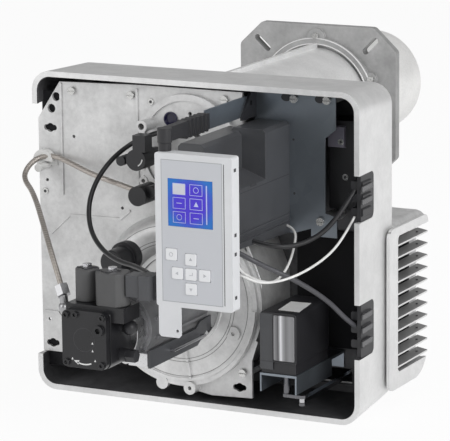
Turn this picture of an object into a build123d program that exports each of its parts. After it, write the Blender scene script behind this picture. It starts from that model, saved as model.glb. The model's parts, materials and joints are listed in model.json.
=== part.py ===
from build123d import *
import math
import os

# Two-stage forced-draught burner head with its service cover taken off.
# Sizes are in mm. Points are written from the casing's lower left front corner:
# X to the right, Y away from the service side, Z up. The last step moves the
# whole burner so that the blast tube axis at the boiler face is the origin.
AXIS_X, AXIS_Z = 205.0, 317.0
FAN_X, FAN_Z = 195.0, 130.0
COVER_R = 107.0
HEAD_X, HEAD_Z, HEAD_R = AXIS_X + 5.0, AXIS_Z - 1.0, 68.0

# Cast casing: its right compartment starts beside the fan cover, its top above the head cover
RIGHT_BAY, HEAD_ROOM = 138.0, 17.5
CASING_W = FAN_X + COVER_R + RIGHT_BAY
CASING_H = HEAD_Z + HEAD_R + HEAD_ROOM
CASING_D = 103.0
CASING_R = 25.0
CASING_WALL = 5.0
DRAFT_TOP, DRAFT_BOTTOM, DRAFT_RIGHT = 4.0, 8.0, 4.0
LIP_DEPTH, LIP_INSET = 6.0, 7.0
WEB_T = 6.0
WEB_FRONT = CASING_D - WEB_T
LEFT_OPEN_LOW, LEFT_OPEN_TOP = 44.0, 41.5
LEFT_OPEN_HIGH = CASING_H - LEFT_OPEN_TOP
EYE_R = 55.0
NOTCH_DEPTH, NOTCH_R, NOTCH_CUT = 45.0, 7.0, 13.0
NOTCHES = ((247.0, 303.0), (82.0, 148.0))
# Screws of the plate and of the bracket, each on its own post
TOP_ROW, BRACKET_ROW = CASING_H - 24.5, CASING_H - 18.5
PLATE_POSTS = ((131.0, TOP_ROW), (258.0, TOP_ROW + 3), (279.0, 46.0), (49.0, TOP_ROW))
BRACKET_POSTS = ((337.0, BRACKET_ROW - 1), (CASING_W - 60, BRACKET_ROW), (CASING_W - 69, 236.0))
POST_R = 7.0

# Base plate and what is cast on it
PLATE_FRONT, PLATE_T = 14.0, 4.0
PLATE_BACK = PLATE_FRONT + PLATE_T
PLATE_ARC_R = COVER_R + 3.0
PLATE_TOP, PLATE_LEFT_TOP = CASING_H - 11.5, CASING_H - 61.5
PLATE_EDGE = (
    (0, 45), (0, PLATE_LEFT_TOP), (31, PLATE_TOP - 3), (144, PLATE_TOP), (281, PLATE_TOP),
    (281, 190), (FAN_X, FAN_Z), (110, 45),
)
PLATE_LOBE = ((299, 86), (291, 62), (291, 15), (236, 13), (195, 20), (FAN_X, FAN_Z))
PLATE_FAN_R, PLATE_HEAD_R = COVER_R - 19.0, HEAD_R - 8.0
PLATE_NOTCHES = ((26.0, CASING_H - 33.5), (19.0, CASING_H - 48.5))
PLATE_NOTCH_R = 5.5
KEYHOLES = ((17.0, PLATE_LEFT_TOP - 11), (14.0, 56.0), (274.0, 27.0))
KEYHOLE_L, KEYHOLE_H, KEYHOLE_R = 18.0, 7.0, 5.5
PLATE_HOLES = ((50.0, 320.0), (116.0, 236.0), (11.0, 263.0), (10.0, 86.0))
PLATE_HOLE_R = 2.0
RIDGE_W, RIDGE_H = 3.0, 1.6
RIDGE_PATHS = (
    ((2, 195), (16, 197), (42, 221), (113, 222), (126, 233)),
    ((33, 247), (33, PLATE_TOP - 6)),
    ((139, 260), (139, PLATE_TOP - 6)),
    ((4, 96), (22, 96), (27, 90), (27, 60)),
)
BOSSES = ((150.0, 274.0, 6.0, 8.0), (148.0, 291.0, 5.0, 8.0))
BOSS_BORE_R = 2.5

# Fan cover, volute and neck
COVER_T = 8.0
COVER_BACK, COVER_FRONT = PLATE_FRONT, PLATE_FRONT - COVER_T
COVER_RINGS = ((COVER_R - 10, COVER_R - 6, 2.0), (56.0, 60.0, 2.0))
COVER_BORE_R = 9.0
RIB_W, RIB_H = 6.0, 3.0
RIB_R = COVER_R + 0.5 - RIB_W / 2
RIB_FROM, RIB_SWEEP = -64.0, 62.0
SPOKE_R0, SPOKE_R1, SPOKE_W, SPOKE_ANGLE = 60.0, COVER_R - 10, 3.0, -80.0
COVER_BOSSES = ((271.0, 96.0, 9.0, 3.0), (212.0, 22.0, 8.0, 5.0))
COVER_LUGS = ((121.0, 50.0), (172.0, 24.0))
LUG_R = 8.0
BULGE_W, BULGE_H, BULGE_TOP = 45.0, 18.0, 27.0
BULGE_FROM, BULGE_SWEEP = 48.0, 100.0
SCROLL_R, SCROLL_WALL = COVER_R + 1.0, 4.0
SCROLL_DUCT = (
    (96, 170), (142, 262), (280, 262), (281, 214),
    (FAN_X + SCROLL_R, 160), (FAN_X + SCROLL_R, FAN_Z), (FAN_X, FAN_Z),
)
SCROLL_INNER = (
    (104, 176), (146, 258), (276, 258), (277, 212),
    (FAN_X + SCROLL_R - 5, 158), (FAN_X + SCROLL_R - 5, FAN_Z + 2), (FAN_X, FAN_Z + 2),
)
SCROLL_BACK = WEB_FRONT - SCROLL_WALL
NECK_R, NECK_WALL, NECK_LENGTH = 70.0, 4.0, 369.0
NECK_END = PLATE_BACK + NECK_LENGTH
NECK_WINDOW = (47.0, PLATE_BACK + 6, WEB_FRONT - 7)
NECK_RIB_W, NECK_RIB_H, NECK_RIB_SINK = 5.0, 6.5, 3.0

# Head cover and burner head inside the neck
HEAD_RING_W, HEAD_T, HEAD_RING_H = 8.0, 4.0, 3.0
HEAD_FRONT = PLATE_FRONT - HEAD_T
HEAD_BOSS = (160.0, 345.0, 7.5, 26.0, 4.0)
SIGHT_X, SIGHT_Z, SIGHT_R = 187.0, 352.0, 9.0
SIGHT_GLASS_R, SIGHT_T = 7.0, 5.0
HEAD_HOLE = (213.0, 360.0, 2.5)
FLANGE_T, GASKET_T = 11.0, 4.0
FACE_Y = NECK_END + FLANGE_T + GASKET_T
TUBE_R, TUBE_WALL, TUBE_LENGTH = 68.0, 2.5, 170.0
TUBE_END = FACE_Y + TUBE_LENGTH
TUBE_LIP, TUBE_ROOT_R = 3.0, TUBE_R - 1.0
DISC_SINK, DISC_T, DISC_BORE, DISC_GAP = 20.0, 2.0, 14.0, 15.5
DISC_R = TUBE_R - TUBE_WALL - DISC_GAP
DISC_Y = TUBE_END - DISC_SINK
DISC_SLOTS, DISC_SLOT_W, DISC_SLOT_END = 8, 3.0, 5.0
NOZZLE_ROD_R, NOZZLE_HEX, NOZZLE_L = 8.0, 11.0, 18.0
NOZZLE_TIP_R, NOZZLE_TIP_L, NOZZLE_GAP = 5.0, 4.0, 6.0
NOZZLE_END = DISC_Y - NOZZLE_GAP
NOZZLE_ROD_END = NOZZLE_END - NOZZLE_L
FEED_X, FEED_Z, FEED_R, FEED_Y = 180.0, 270.0, 6.0, PLATE_FRONT + 12.0
DISC_HUB_R, DISC_HUB_L, DISC_HUB_BACK = 12.0, 14.0, 2.0
DISC_HUB_Y = NOZZLE_ROD_END - DISC_HUB_BACK - DISC_HUB_L
STRUT_COUNT, STRUT_R, STRUT_W, STRUT_L = 3, 1.5, 3.0, 6.0
ELECTRODE_R, ELECTRODE_X, ELECTRODE_L, ELECTRODE_GAP = 3.0, 19.0, 119.0, 3.0
ELECTRODE_END = DISC_Y - ELECTRODE_GAP
ELECTRODE_START = ELECTRODE_END - ELECTRODE_L
CLAMP_T, CLAMP_H, CLAMP_RIM, CLAMP_GAP = 10.0, 18.0, 4.0, 12.0
CLAMP_Y = DISC_HUB_Y - CLAMP_GAP - CLAMP_T

# Boiler flange
FLANGE_HALF_W, FLANGE_HALF_H, FLANGE_CORNER = 112.0, 100.0, 8.0
FLANGE_CHAMFER_X, FLANGE_CHAMFER_Z = 32.0, 30.0
TUBE_SOCKET_DEPTH = 8.0
FLANGE_BORE_R, GASKET_EDGE, GASKET_GAP = NECK_R - NECK_WALL, 2.0, 0.5
SLOT_PCR, SLOT_LEN, SLOT_W = 107.0, 28.0, 8.0
SLOT_ANGLES = (45.0, 138.0, 222.0, 315.0)
COLLAR_R0, COLLAR_R1, COLLAR_T = NECK_R + 4, NECK_R + 14, 5.0
COLLAR_LUG, COLLAR_EAR, COLLAR_TURN = 12.0, 9.0, 67.0

# Air intake behind the casing
INTAKE_DEPTH = 93.0
INTAKE = (108.0, CASING_W, CASING_D + INTAKE_DEPTH, 20.0, 228.0)
INTAKE_WALL, INTAKE_R = 4.0, 14.0
INTAKE_TOP_R, INTAKE_LOW_R = 10.0, 40.0
GRILLE_T, GRILLE_R, GRILLE_RIM = 4.0, 12.0, 6.0
GRILLE_Y0 = CASING_D - 25.0
GRILLE_Z0, GRILLE_Z1 = INTAKE[3] + 3, INTAKE[4] - 5
GRILLE_OPEN = (CASING_D + 0.5, INTAKE[2], GRILLE_Z0 + 20, GRILLE_Z1 - 11)
BAY_DEEP, BAY_WALL_W = 12.0, 22.0
SLAT_COUNT, SLAT_PITCH, SLAT_W, SLAT_T, SLAT_TILT = 11, 15.1, 14.0, 2.2, 10.0
SLAT_X = CASING_W + GRILLE_T - SLAT_W / 2
SLAT_Z, SLAT_END = GRILLE_OPEN[2] + 7.5, 1.5
FOAM_T = 3.0
FOAM = (314.0, CASING_W - 12, 68.0, 214.0)
FOAM_BACK = (INTAKE[0] + 30, INTAKE[3] + INTAKE_LOW_R, INTAKE[4] - 18, 15.0)
DAMPER_X, DAMPER_Y = 355.0, CASING_D + INTAKE_DEPTH / 2 - 1
DAMPER_HALF, DAMPER_T = INTAKE_DEPTH / 2 - INTAKE_WALL - 1, 3.0
DAMPER_Z0, DAMPER_Z1 = INTAKE[3] + 30, INTAKE[4] - 11
DAMPER_SHAFT_R, DAMPER_SHAFT_RISE = 4.0, 7.0
DAMPER_SEAT_HALF, DAMPER_SEAT_T, DAMPER_SEAT_LOW, DAMPER_SEAT_HIGH = 8.0, 5.0, 12.0, 2.0
SERVO_Y = -22.0
ARM_L, ARM_Z0, ARM_Z1, ARM_W = 20.0, 34.0, 38.0, 10.0
PIN_R, PIN_HEAD_R, PIN_LOW = 2.0, 4.0, 25.0
LINK_Z0, LINK_Z1, LINK_W = 29.0, 33.6, 7.0
RUN_GAP, REAR_GAP, HEAD_GAP = 0.05, 0.3, 0.4
LINK_BORE, LINK_REAR_BORE = PIN_R + RUN_GAP, PIN_R + REAR_GAP
LINK_SLOT = (DAMPER_X - 11, DAMPER_X + ARM_L + 11, 22.0, 42.0)

# Servo drive of the air damper
SERVO_W, SERVO_D, SERVO_H = 48.0, 92.0, 75.0
SERVO_X0, SERVO_Y0, SERVO_Z0 = DAMPER_X - 27.0, SERVO_Y - 18.0, 65.0
SERVO = (SERVO_X0, SERVO_X0 + SERVO_W, SERVO_Y0, SERVO_Y0 + SERVO_D, SERVO_Z0, SERVO_Z0 + SERVO_H)
SERVO_SKIRT, SERVO_INSET, SERVO_BEVEL = 14.0, 1.5, 3.0
WINDOW_W, WINDOW_T, WINDOW_R = 27.0, 2.0, 2.0
WINDOW = (SERVO[1] - 2 - WINDOW_W, SERVO[1] - 2, SERVO[4] + 17, SERVO[5] - 3)
SERVO_BRACKET_T, SERVO_SKIRT_Z, SERVO_SKIRT_T = 3.0, 42.0, 2.0
SERVO_SKIRT_Y = SERVO[3] + 8.0
SERVO_SHAFT_R, SERVO_SHAFT_TOP = 4.0, SERVO_Z0 + 11

# Motor, pump and valves on the fan axis
MOTOR_R, MOTOR_L = 42.0, 146.0
MOTOR_FRONT = COVER_FRONT - MOTOR_L
MOTOR_RIB_COUNT, MOTOR_RIB_H, MOTOR_RIB_W, MOTOR_RIB_SINK = 12, 7.0, 4.0, 1.0
MOTOR_RIB_BACK, MOTOR_RIB_FRONT, MOTOR_RIB_TURN = 8.0, 12.0, 15.0
CAP_GAP_FROM, CAP_GAP_TO = 100.0, 130.0
WHEEL_GAP, WHEEL_WALL_GAP = 4.0, 9.0
WHEEL_R1, WHEEL_BLADE_H = PLATE_FAN_R - WHEEL_GAP, 16.0
WHEEL_R0 = WHEEL_R1 - WHEEL_BLADE_H
WHEEL_Y0, WHEEL_Y1 = PLATE_BACK + 12, WEB_FRONT - WHEEL_WALL_GAP
WHEEL_DISC_T, WHEEL_HUB_R, WHEEL_HUB_L, WHEEL_BLADES = 3.0, 14.0, 22.0, 16
BLADE_T, BLADE_SHORT, BLADE_TURN = 2.0, 3.0, 25.0
CAP_X, CAP_Z, CAP_R, CAP_RING_R = 158.0, 193.0, 15.0, 19.0
CAP_L, CAP_RING_L, CAP_SADDLE_W = 30.0, 14.0, 16.0
CAP_BACK = COVER_FRONT - 54.0
CAP_MID = CAP_BACK - CAP_RING_L
CAP_FRONT = CAP_MID - CAP_L
ADAPTER_R, ADAPTER_L, ADAPTER_BORE = 38.0, 27.0, 14.0
ADAPTER_FRONT = MOTOR_FRONT - ADAPTER_L
ADAPTER_EAR = (
    FAN_X + 17, FAN_X + MOTOR_R, MOTOR_FRONT - 12, MOTOR_FRONT - 1, FAN_Z - 42, FAN_Z - 26,
)
PUMP_W, PUMP_D, PUMP_H = 60.0, 48.0, 70.0
PUMP_X0, PUMP_Z0 = FAN_X - 31.0, FAN_Z - 32.0
PUMP = (PUMP_X0, PUMP_X0 + PUMP_W, ADAPTER_FRONT - PUMP_D, PUMP_Z0, PUMP_Z0 + PUMP_H)
PUMP_TOP_W, PUMP_TOP_D, PUMP_TOP_RISE, PUMP_TOP_SINK = 76.0, 38.0, 4.0, 14.0
PUMP_TOP_X0, PUMP_TOP_Y0 = PUMP[0] + 1, PUMP[2] + 1
PUMP_TOP = (
    PUMP_TOP_X0, PUMP_TOP_X0 + PUMP_TOP_W, PUMP_TOP_Y0, PUMP_TOP_Y0 + PUMP_TOP_D,
    PUMP[4] + PUMP_TOP_RISE,
)
SHAFT_R, SHAFT_SINK = 6.0, 11.0
SHAFT_FRONT, SHAFT_BACK = ADAPTER_FRONT - SHAFT_SINK, WHEEL_Y1 - 2.0
PUMP_CORNER = 9.0
PUMP_COVER_T, PUMP_COVER_INSET = 9.0, 1.0
PUMP_COVER_FRONT = PUMP[2] - PUMP_COVER_T
PUMP_SCREWS = (
    (PUMP[0] + 7, PUMP[4] - 7), (PUMP[0] + 19, PUMP[4] - 6), (PUMP[1] - 6, PUMP[4] - 7),
    (PUMP[0] + 7, PUMP[3] + 7), (PUMP[1] - 7, PUMP[3] + 7),
)
PUMP_SCREW_R, PUMP_SCREW_H = 4.0, 3.0
PUMP_RING = (PUMP[1] - 10, PUMP[4] - 22, 6.5, 4.0)
PORT_Y = PUMP[2] + 25.0
BALL_Z, BALL_R, BALL_STEM_R, BALL_STEM_L, BALL_OUT = PUMP[4] - 24, 9.0, 6.0, 5.0, 12.0
HEX_PLUG_Z, HEX_PLUG_R, HEX_STEM_L, HEX_PLUG_L = PUMP[3] + 13, 8.0, 8.0, 12.0
RETURN_R, RETURN_DEPTH = 5.0, 10.0
RETURN_PORT = (PUMP[0] + 16, PORT_Y)
COIL_R, COIL_H = 14.0, 38.0
COIL_L = (PUMP[0] + 17, PORT_Y, COIL_R, PUMP_TOP[4], PUMP_TOP[4] + COIL_H)
COIL_R_W, COIL_R_D, COIL_R_H = 40.0, 33.0, 39.0
COIL_R_X0, COIL_R_Y = COIL_L[0] + COIL_R + 4.0, PORT_Y - 8.0
COIL_R_X1, COIL_R_MID = COIL_R_X0 + COIL_R_W, COIL_R_X0 + COIL_R_W / 2
COIL_R_Z1 = PUMP_TOP[4] + COIL_R_H
STEM_R, STEM_SINK, COIL_CAP_T = 5.0, 2.0, 4.0
STEM_LOW = PUMP_TOP[4] + STEM_SINK
STEM_TOP = PUMP_TOP[4] + min(COIL_H, COIL_R_H) - COIL_CAP_T
ARMATURE_R, ARMATURE_LIFT = STEM_R - RUN_GAP, 4.0
ARMATURE_Z0, ARMATURE_L = STEM_LOW + 4.0, STEM_TOP - STEM_LOW - 8.0
NUT_R, NUT_H = 6.0, 5.0
PLUG_L, CAP_PLUG_L, PLUG_HALF, CAP_PLUG_HALF, PLUG_BEVEL = 18.0, 17.4, 11.0, 13.0, 5.0
PLUG_Y, PLUG_LOW = COIL_R_Y + 3.0, COIL_R_Z1 - 29.0
PLUG_A = (
    COIL_R_X1, COIL_R_X1 + PLUG_L, PLUG_Y - PLUG_HALF, PLUG_Y + PLUG_HALF,
    PLUG_LOW + 2, COIL_R_Z1 - 1,
)
PLUG_B = (
    PLUG_A[1], PLUG_A[1] + CAP_PLUG_L, PLUG_Y - CAP_PLUG_HALF, PLUG_Y + CAP_PLUG_HALF,
    PLUG_LOW, COIL_R_Z1,
)

# Oil hose ends
HOSE_D = 6.5
NIPPLE_L, NIPPLE_R, NIPPLE_BALL, NIPPLE_NECK = 14.0, 7.0, 7.5, 5.0
NIPPLE_X, NIPPLE_Z = PUMP[0] - NIPPLE_L, PUMP[4] - 8.0
HOSE_NUT_R, HOSE_NUT_L, HOSE_NUT_BACK = 8.5, 13.0, 8.0
SADDLE_X, SADDLE_Z, SADDLE_R, SADDLE_LOW, SADDLE_T = 12.0, 282.0, 15.0, 0.0, 1.5
PEG_R, PEG_L = 5.0, 24.0
ELBOW_X, ELBOW_Z, ELBOW_R, ELBOW_L = FEED_X - 13, FEED_Z - 5, 12.0, 34.0
ELBOW_FOOT_R, ELBOW_NECK_W, ELBOW_STEP = 4.8, 14.0, 4.0
ELBOW_BACK = HEAD_FRONT - 18.0
ELBOW_FRONT = ELBOW_BACK - ELBOW_L
ELBOW_TOP = ELBOW_FRONT + 8.0

# Flame sensor
SENSOR_X, SENSOR_Z, SENSOR_R, SENSOR_L, SENSOR_STEM_R, SENSOR_STEM_L = 166.0, 309.0, 13.0, 32.0, 8.0, 20.0
SENSOR_BACK = HEAD_FRONT - SENSOR_STEM_L
SENSOR_FRONT = SENSOR_BACK - SENSOR_L
SENSOR_CAP = (SENSOR_X - 24, SENSOR_Z - 4, 6.0, SENSOR_FRONT + 6, SENSOR_FRONT + 24)
SENSOR_NECK_W, SENSOR_NECK_STEP = 8.0, 4.0
SENSOR_PLUG_W, SENSOR_PLUG_D, SENSOR_PLUG_H = 17.0, 18.0, 20.0
SENSOR_PLUG = (SENSOR_X - 4, SENSOR_X - 4 + SENSOR_PLUG_W, SENSOR_FRONT, SENSOR_FRONT + SENSOR_PLUG_D,
               SENSOR_Z + 10, SENSOR_Z + 10 + SENSOR_PLUG_H)

# Burner control box
BOX_W, BOX_D, BOX_H = 65.5, 162.0, 77.0
BOX_X0, BOX_LOW, BOX_DROP, BOX_NOTCH_W = 265.0, 219.0, 8.0, 19.5
BOX_XB, BOX_X1 = BOX_X0 + BOX_NOTCH_W, BOX_X0 + BOX_W
BOX_BACK, BOX_PLATE_Y = 41.0, 2.0
BOX_FRONT = BOX_BACK - BOX_D
BOX_SHOULDER_Z = BOX_LOW + BOX_H
BOX_SIDE = (
    (BOX_FRONT, BOX_LOW + BOX_DROP), (BOX_BACK, BOX_LOW),
    (BOX_BACK, BOX_SHOULDER_Z), (BOX_FRONT, BOX_SHOULDER_Z),
)
BOX_LEDGE_H, BOX_LEDGE_X, BOX_NOTCH_TOP = 11.0, BOX_X0 + 36, BOX_SHOULDER_Z + 4
BOX_LEDGE_Z = BOX_SHOULDER_Z + BOX_LEDGE_H
HOOD_H, HOOD_D, HOOD_LEFT_H, HOOD_LEFT_W, HOOD_SINK = 59.0, 66.0, 55.0, 34.0, 16.0
HOOD = (BOX_XB, BOX_X1, BOX_BACK - HOOD_D, BOX_BACK, BOX_SHOULDER_Z + HOOD_H)
HOOD_LEFT = (BOX_X0, BOX_X0 + HOOD_LEFT_W, BOX_FRONT, BOX_PLATE_Y, BOX_SHOULDER_Z + HOOD_LEFT_H)
BOX_ROUND = 4.0
GROOVE, GROOVE_W, GROOVE_Z, GROOVE_STEP, GROOVES = 0.8, 1.2, BOX_LOW + 14, 5.0, 3

# Zinc bracket, display and its swing hinge
BRACKET_T = 2.0
BRACKET_X0, BRACKET_X1, BRACKET_TOP = BOX_X0 + 19.0, CASING_W - 48, CASING_H - 9.5
BRACKET_EDGE = (
    (BRACKET_X0, BRACKET_TOP), (BRACKET_X1 - 1, BRACKET_TOP), (BRACKET_X1 - 1, 348), (BRACKET_X1 - 15, 337),
    (BRACKET_X1 - 15, 246), (BRACKET_X1, 242), (BRACKET_X1, 217), (BRACKET_X1 - 34, 217),
    (BRACKET_X1 - 34, 226), (BOX_X1 + 5.5, BOX_LOW), (BRACKET_X0, BOX_LOW),
)
BRACKET_HOLES = ((327.0, BRACKET_TOP - 8), (BRACKET_X1 - 22, BRACKET_TOP - 8))
BRACKET_HOLE_R = 4.0
ARM_T, ARM_OUT, ARM_LOW, ARM_HIGH = 2.0, 129.0, BRACKET_TOP - 31, BRACKET_TOP - 7
SIDE_ARM = (BRACKET_X0 - ARM_T, BRACKET_X0, BOX_BACK - ARM_OUT, BOX_BACK + BRACKET_T, ARM_LOW, ARM_HIGH)
EAR_BACK, EAR_FRONT, EAR_LOW, EAR_TOP = BOX_BACK - 0.1, BOX_BACK - 39, HOOD[4] + 3, BRACKET_TOP - 1
EAR_EDGE = (
    (EAR_BACK, EAR_LOW), (EAR_BACK, EAR_TOP), (EAR_BACK - 13, EAR_TOP),
    (EAR_FRONT, EAR_LOW + 4), (EAR_FRONT, EAR_LOW),
)
EAR_X, EAR_T, EAR_HOLE = BRACKET_X0, 3.0, (BOX_BACK - 15, BRACKET_TOP - 16, 3.0)
HINGE_X, HINGE_Y = BRACKET_X0 + 5.0, -198.0
HINGE_PIN_R, HINGE_KNUCKLE_R, HINGE_PIN_L = 4.0, 8.5, 15.3
DISPLAY_W, DISPLAY_T, DISPLAY_H = 97.0, 18.0, 177.0
DISPLAY_X0, DISPLAY_Y0, DISPLAY_Z0 = HINGE_X - 7.0, HINGE_Y - 12.0, 180.0
DISPLAY = (
    DISPLAY_X0, DISPLAY_X0 + DISPLAY_W, DISPLAY_Y0, DISPLAY_Y0 + DISPLAY_T,
    DISPLAY_Z0, DISPLAY_Z0 + DISPLAY_H,
)
DISPLAY_WALL, DISPLAY_R, TRAY_R = 2.0, 3.0, 1.0
BARREL_L, BARREL_R, BARREL_GAP = 9.0, 7.5, 0.3
BARREL_TOP = DISPLAY[5] + BARREL_L
HINGE_Z0 = BARREL_TOP + BARREL_GAP
HINGE_Z1, HINGE_PIN_LOW = max(HINGE_Z0, ARM_HIGH - 2.0), HINGE_Z0 - HINGE_PIN_L
LINK_FOLDS, LINK_PITCH, FOLD_L, LINK_HEAD_Y = 6, 10.0, 5.0, -150.0
DISPLAY_TAB = (DISPLAY[0] + 2.5, DISPLAY[0] + 30.8, DISPLAY[4] - 36, DISPLAY[4])
TAB_HOLE, TAB_BEVEL = (DISPLAY_TAB[1] - 4.8, DISPLAY_TAB[2] + 8, 2.0), 3.0
SCREEN_W, SCREEN_H = 57.0, 55.0
SCREEN_X0, SCREEN_Z0 = DISPLAY[0] + 16, DISPLAY[5] - 83.5
SCREEN = (SCREEN_X0, SCREEN_X0 + SCREEN_W, SCREEN_Z0, SCREEN_Z0 + SCREEN_H)
SCREEN_FRONT, SCREEN_BACK, BOARD_T, BOARD_GAP = DISPLAY_Y0 + 0.6, DISPLAY_Y0 + 6.0, 2.0, 4.0
KEY_W, KEY_H, KEY_R, KEY_GAP, KEY_TRAVEL_GAP = 14.0, 13.5, 1.5, 0.3, 0.6
KEY_FRONT, KEY_BACK = DISPLAY_Y0 - 1.2, SCREEN_BACK - KEY_TRAVEL_GAP
KEY_PITCH_X, KEY_PITCH_Z = 17.3, 17.1
ENTER_X, ENTER_Z = DISPLAY[0] + 44.8, DISPLAY[4] + 39.7
KEYS = {
    "key_info": (ENTER_X - 24.8, ENTER_Z + 21.3),
    "key_up": (ENTER_X, ENTER_Z + KEY_PITCH_Z),
    "key_left": (ENTER_X - KEY_PITCH_X, ENTER_Z),
    "key_enter": (ENTER_X, ENTER_Z),
    "key_right": (ENTER_X + KEY_PITCH_X, ENTER_Z),
    "key_down": (ENTER_X, ENTER_Z - KEY_PITCH_Z),
}

# Service arm beside the motor, terminal module and cable glands
SERVICE_X, SERVICE_T, SERVICE_GAP, SERVICE_REACH = FAN_X + MOTOR_R, 3.0, 0.5, 20.0
SERVICE_Y0, SERVICE_MID = MOTOR_FRONT - 10, FAN_Z - 33.5
SERVICE_EDGE = (
    (COVER_FRONT, SERVICE_MID + 2.5), (COVER_FRONT, SERVICE_MID + 19.5), (-22, SERVICE_MID + 17.5),
    (-34, SERVICE_MID + 10.5), (SERVICE_Y0, SERVICE_MID + 10.5), (SERVICE_Y0, SERVICE_MID - 10.5),
    (-30, SERVICE_MID - 10.5), (-6, SERVICE_MID + 2.5),
)
STAY_R, STAY_Z, STAY_L, STAY_OUT = 2.0, SERVICE_MID + 0.5, 77.0, 5.0
STAY_Y1 = COVER_FRONT - 28.0
STAY_Y0 = STAY_Y1 - STAY_L
MODULE_W, MODULE_D = 36.0, 35.0
MODULE_X0, MODULE_Y0 = CASING_W - 68.0, WEB_FRONT - MODULE_D
MODULE = (MODULE_X0, MODULE_X0 + MODULE_W, MODULE_Y0, WEB_FRONT, 248.0, 356.0)
MODULE_CAP = (MODULE_X0, MODULE_X0 + 22, MODULE_Y0 - 4, MODULE[5] - 32, MODULE[5] - 7)
GLAND_X0, GLAND_X1, GLAND_Y0 = CASING_W - 7, CASING_W - 2, 8.0
GLAND_GRIP = (CASING_W - 16, CASING_W, GLAND_Y0 + 2, GLAND_Y0 + 26, 10.0)
GLAND_BEVEL = 1.5

# Loose-looking leads, each held at both ends
CABLE_D, LEAD_D = 6.0, 3.0
BEND_SHARE = 0.45
SENSOR_ROUTE = (
    (268.0, -60.0, 340.0), (251.0, -54.0, 351.0), (235.0, -38.0, 355.0), (200.5, -18.0, 345.0),
    (167.5, -2.0, 334.0), (139.0, 0.0, 321.5), (118.5, -14.0, 303.0), (108.0, -36.0, 279.0),
    (111.0, -62.0, 253.5), (128.0, -88.0, 229.0), (155.0, -110.0, 213.0), (189.5, -132.0, 206.0),
    (228.5, -152.0, 207.0), (268.0, -187.0, 206.0),
)
BLACK_ROUTE = (
    (327.0, -60.0, 229.0), (348.0, -58.0, 224.0), (372.5, -42.0, 221.0), (398.5, -20.0, 232.5),
    (418.0, -2.0, 259.5), (431.0, 16.0, 290.0),
)
GREY_ROUTE = (
    (327.0, -104.0, 226.0), (346.0, -100.0, 217.0), (358.0, -86.0, 206.0), (386.0, -60.0, 187.0),
    (413.0, -28.0, 157.5), (424.0, -4.0, 131.0), (430.0, 16.0, 117.0),
)
WHITE_ROUTE = (
    (430.0, 16.0, 258.0), (421.0, -6.0, 227.0), (408.5, -36.0, 206.5), (385.5, -70.0, 191.0),
    (363.5, -104.0, 189.0), (346.0, -126.0, 203.0), (328.0, -146.0, 222.0), (320.0, -160.0, 243.0),
    (330.0, -170.0, 260.0), (347.0, -171.0, 254.0), (353.0, -160.0, 233.0), (353.0, -138.0, 210.0),
    (350.0, -84.0, 187.0), (355.0, -50.0, 179.0), (359.0, -26.0, 192.0), (355.0, 0.0, 210.0),
    (346.0, 26.0, 228.0), (327.0, 33.0, 230.0),
)
HOSE_ROUTE = (
    (147.0, -190.0, 181.0), (129.0, -178.0, 211.5), (95.0, -138.0, 236.0), (34.0, -58.0, 261.0),
    (4.0, -32.0, 272.0), (0.0, -16.0, 283.0), (6.0, 0.0, 293.0), (23.0, 9.0, 295.5),
    (48.0, 3.0, 290.0), (89.0, -12.0, 280.5), (135.0, -20.0, 272.0), (167.0, -25.0, 266.0),
)
GLAND_GRIPS = ((258.0, 275.0, 290.0), (99.0, 117.0, 133.0))

# Screws of the plate and the bracket
SCREW_R, SCREW_H, SCREW_SHANK_R, SCREW_SHANK_L = 5.0, 4.0, 2.5, 8.0
SCREW_SLOT_W, SCREW_SLOT_H = 1.2, 1.5


def at_depth(y):
    """Drawing plane seen from the service side; extruding comes towards the viewer."""
    return Plane(origin=(0, y, 0), x_dir=(1, 0, 0), z_dir=(0, -1, 0))


def on_side(x):
    """Drawing plane whose two directions are depth and height, facing right."""
    return Plane(origin=(x, 0, 0), x_dir=(0, 1, 0), z_dir=(1, 0, 0))


def slab(sketch, back, front):
    return extrude(at_depth(back) * sketch, amount=back - front)


def rod(x, z, r, back, front):
    return slab(Pos(x, z) * Circle(r), back, front)


def ring(x, z, outer, inner, back, front):
    return slab(Pos(x, z) * (Circle(outer) - Circle(inner)), back, front)


def post(x, y, r, low, high):
    return Pos(x, y, (low + high) / 2) * Cylinder(r, high - low)


def block(x0, x1, y0, y1, z0, z1):
    middle = Pos((x0 + x1) / 2, (y0 + y1) / 2, (z0 + z1) / 2)
    return middle * Box(x1 - x0, y1 - y0, z1 - z0)


def rounded(x0, x1, z0, z1, r, back, front):
    outline = Pos((x0 + x1) / 2, (z0 + z1) / 2) * RectangleRounded(x1 - x0, z1 - z0, r)
    return slab(outline, back, front)


def flat(points):
    return make_face(Polyline(*points, close=True))


def rail(points, width, back, front):
    """Raised straight ribs along a line of points."""
    pieces = []
    for (x0, z0), (x1, z1) in zip(points, points[1:]):
        length = math.hypot(x1 - x0, z1 - z0)
        turn = math.degrees(math.atan2(z1 - z0, x1 - x0))
        bar = Pos((x0 + x1) / 2, (z0 + z1) / 2) * Rot(0, 0, turn) * SlotOverall(length + width, width)
        pieces.append(bar)
    shape = pieces[0]
    for piece in pieces[1:]:
        shape += piece
    return slab(shape, back, front)


def group(*solids):
    """Separate solids kept side by side in one node."""
    return Compound([s for shape in solids for s in shape.solids()])


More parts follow.
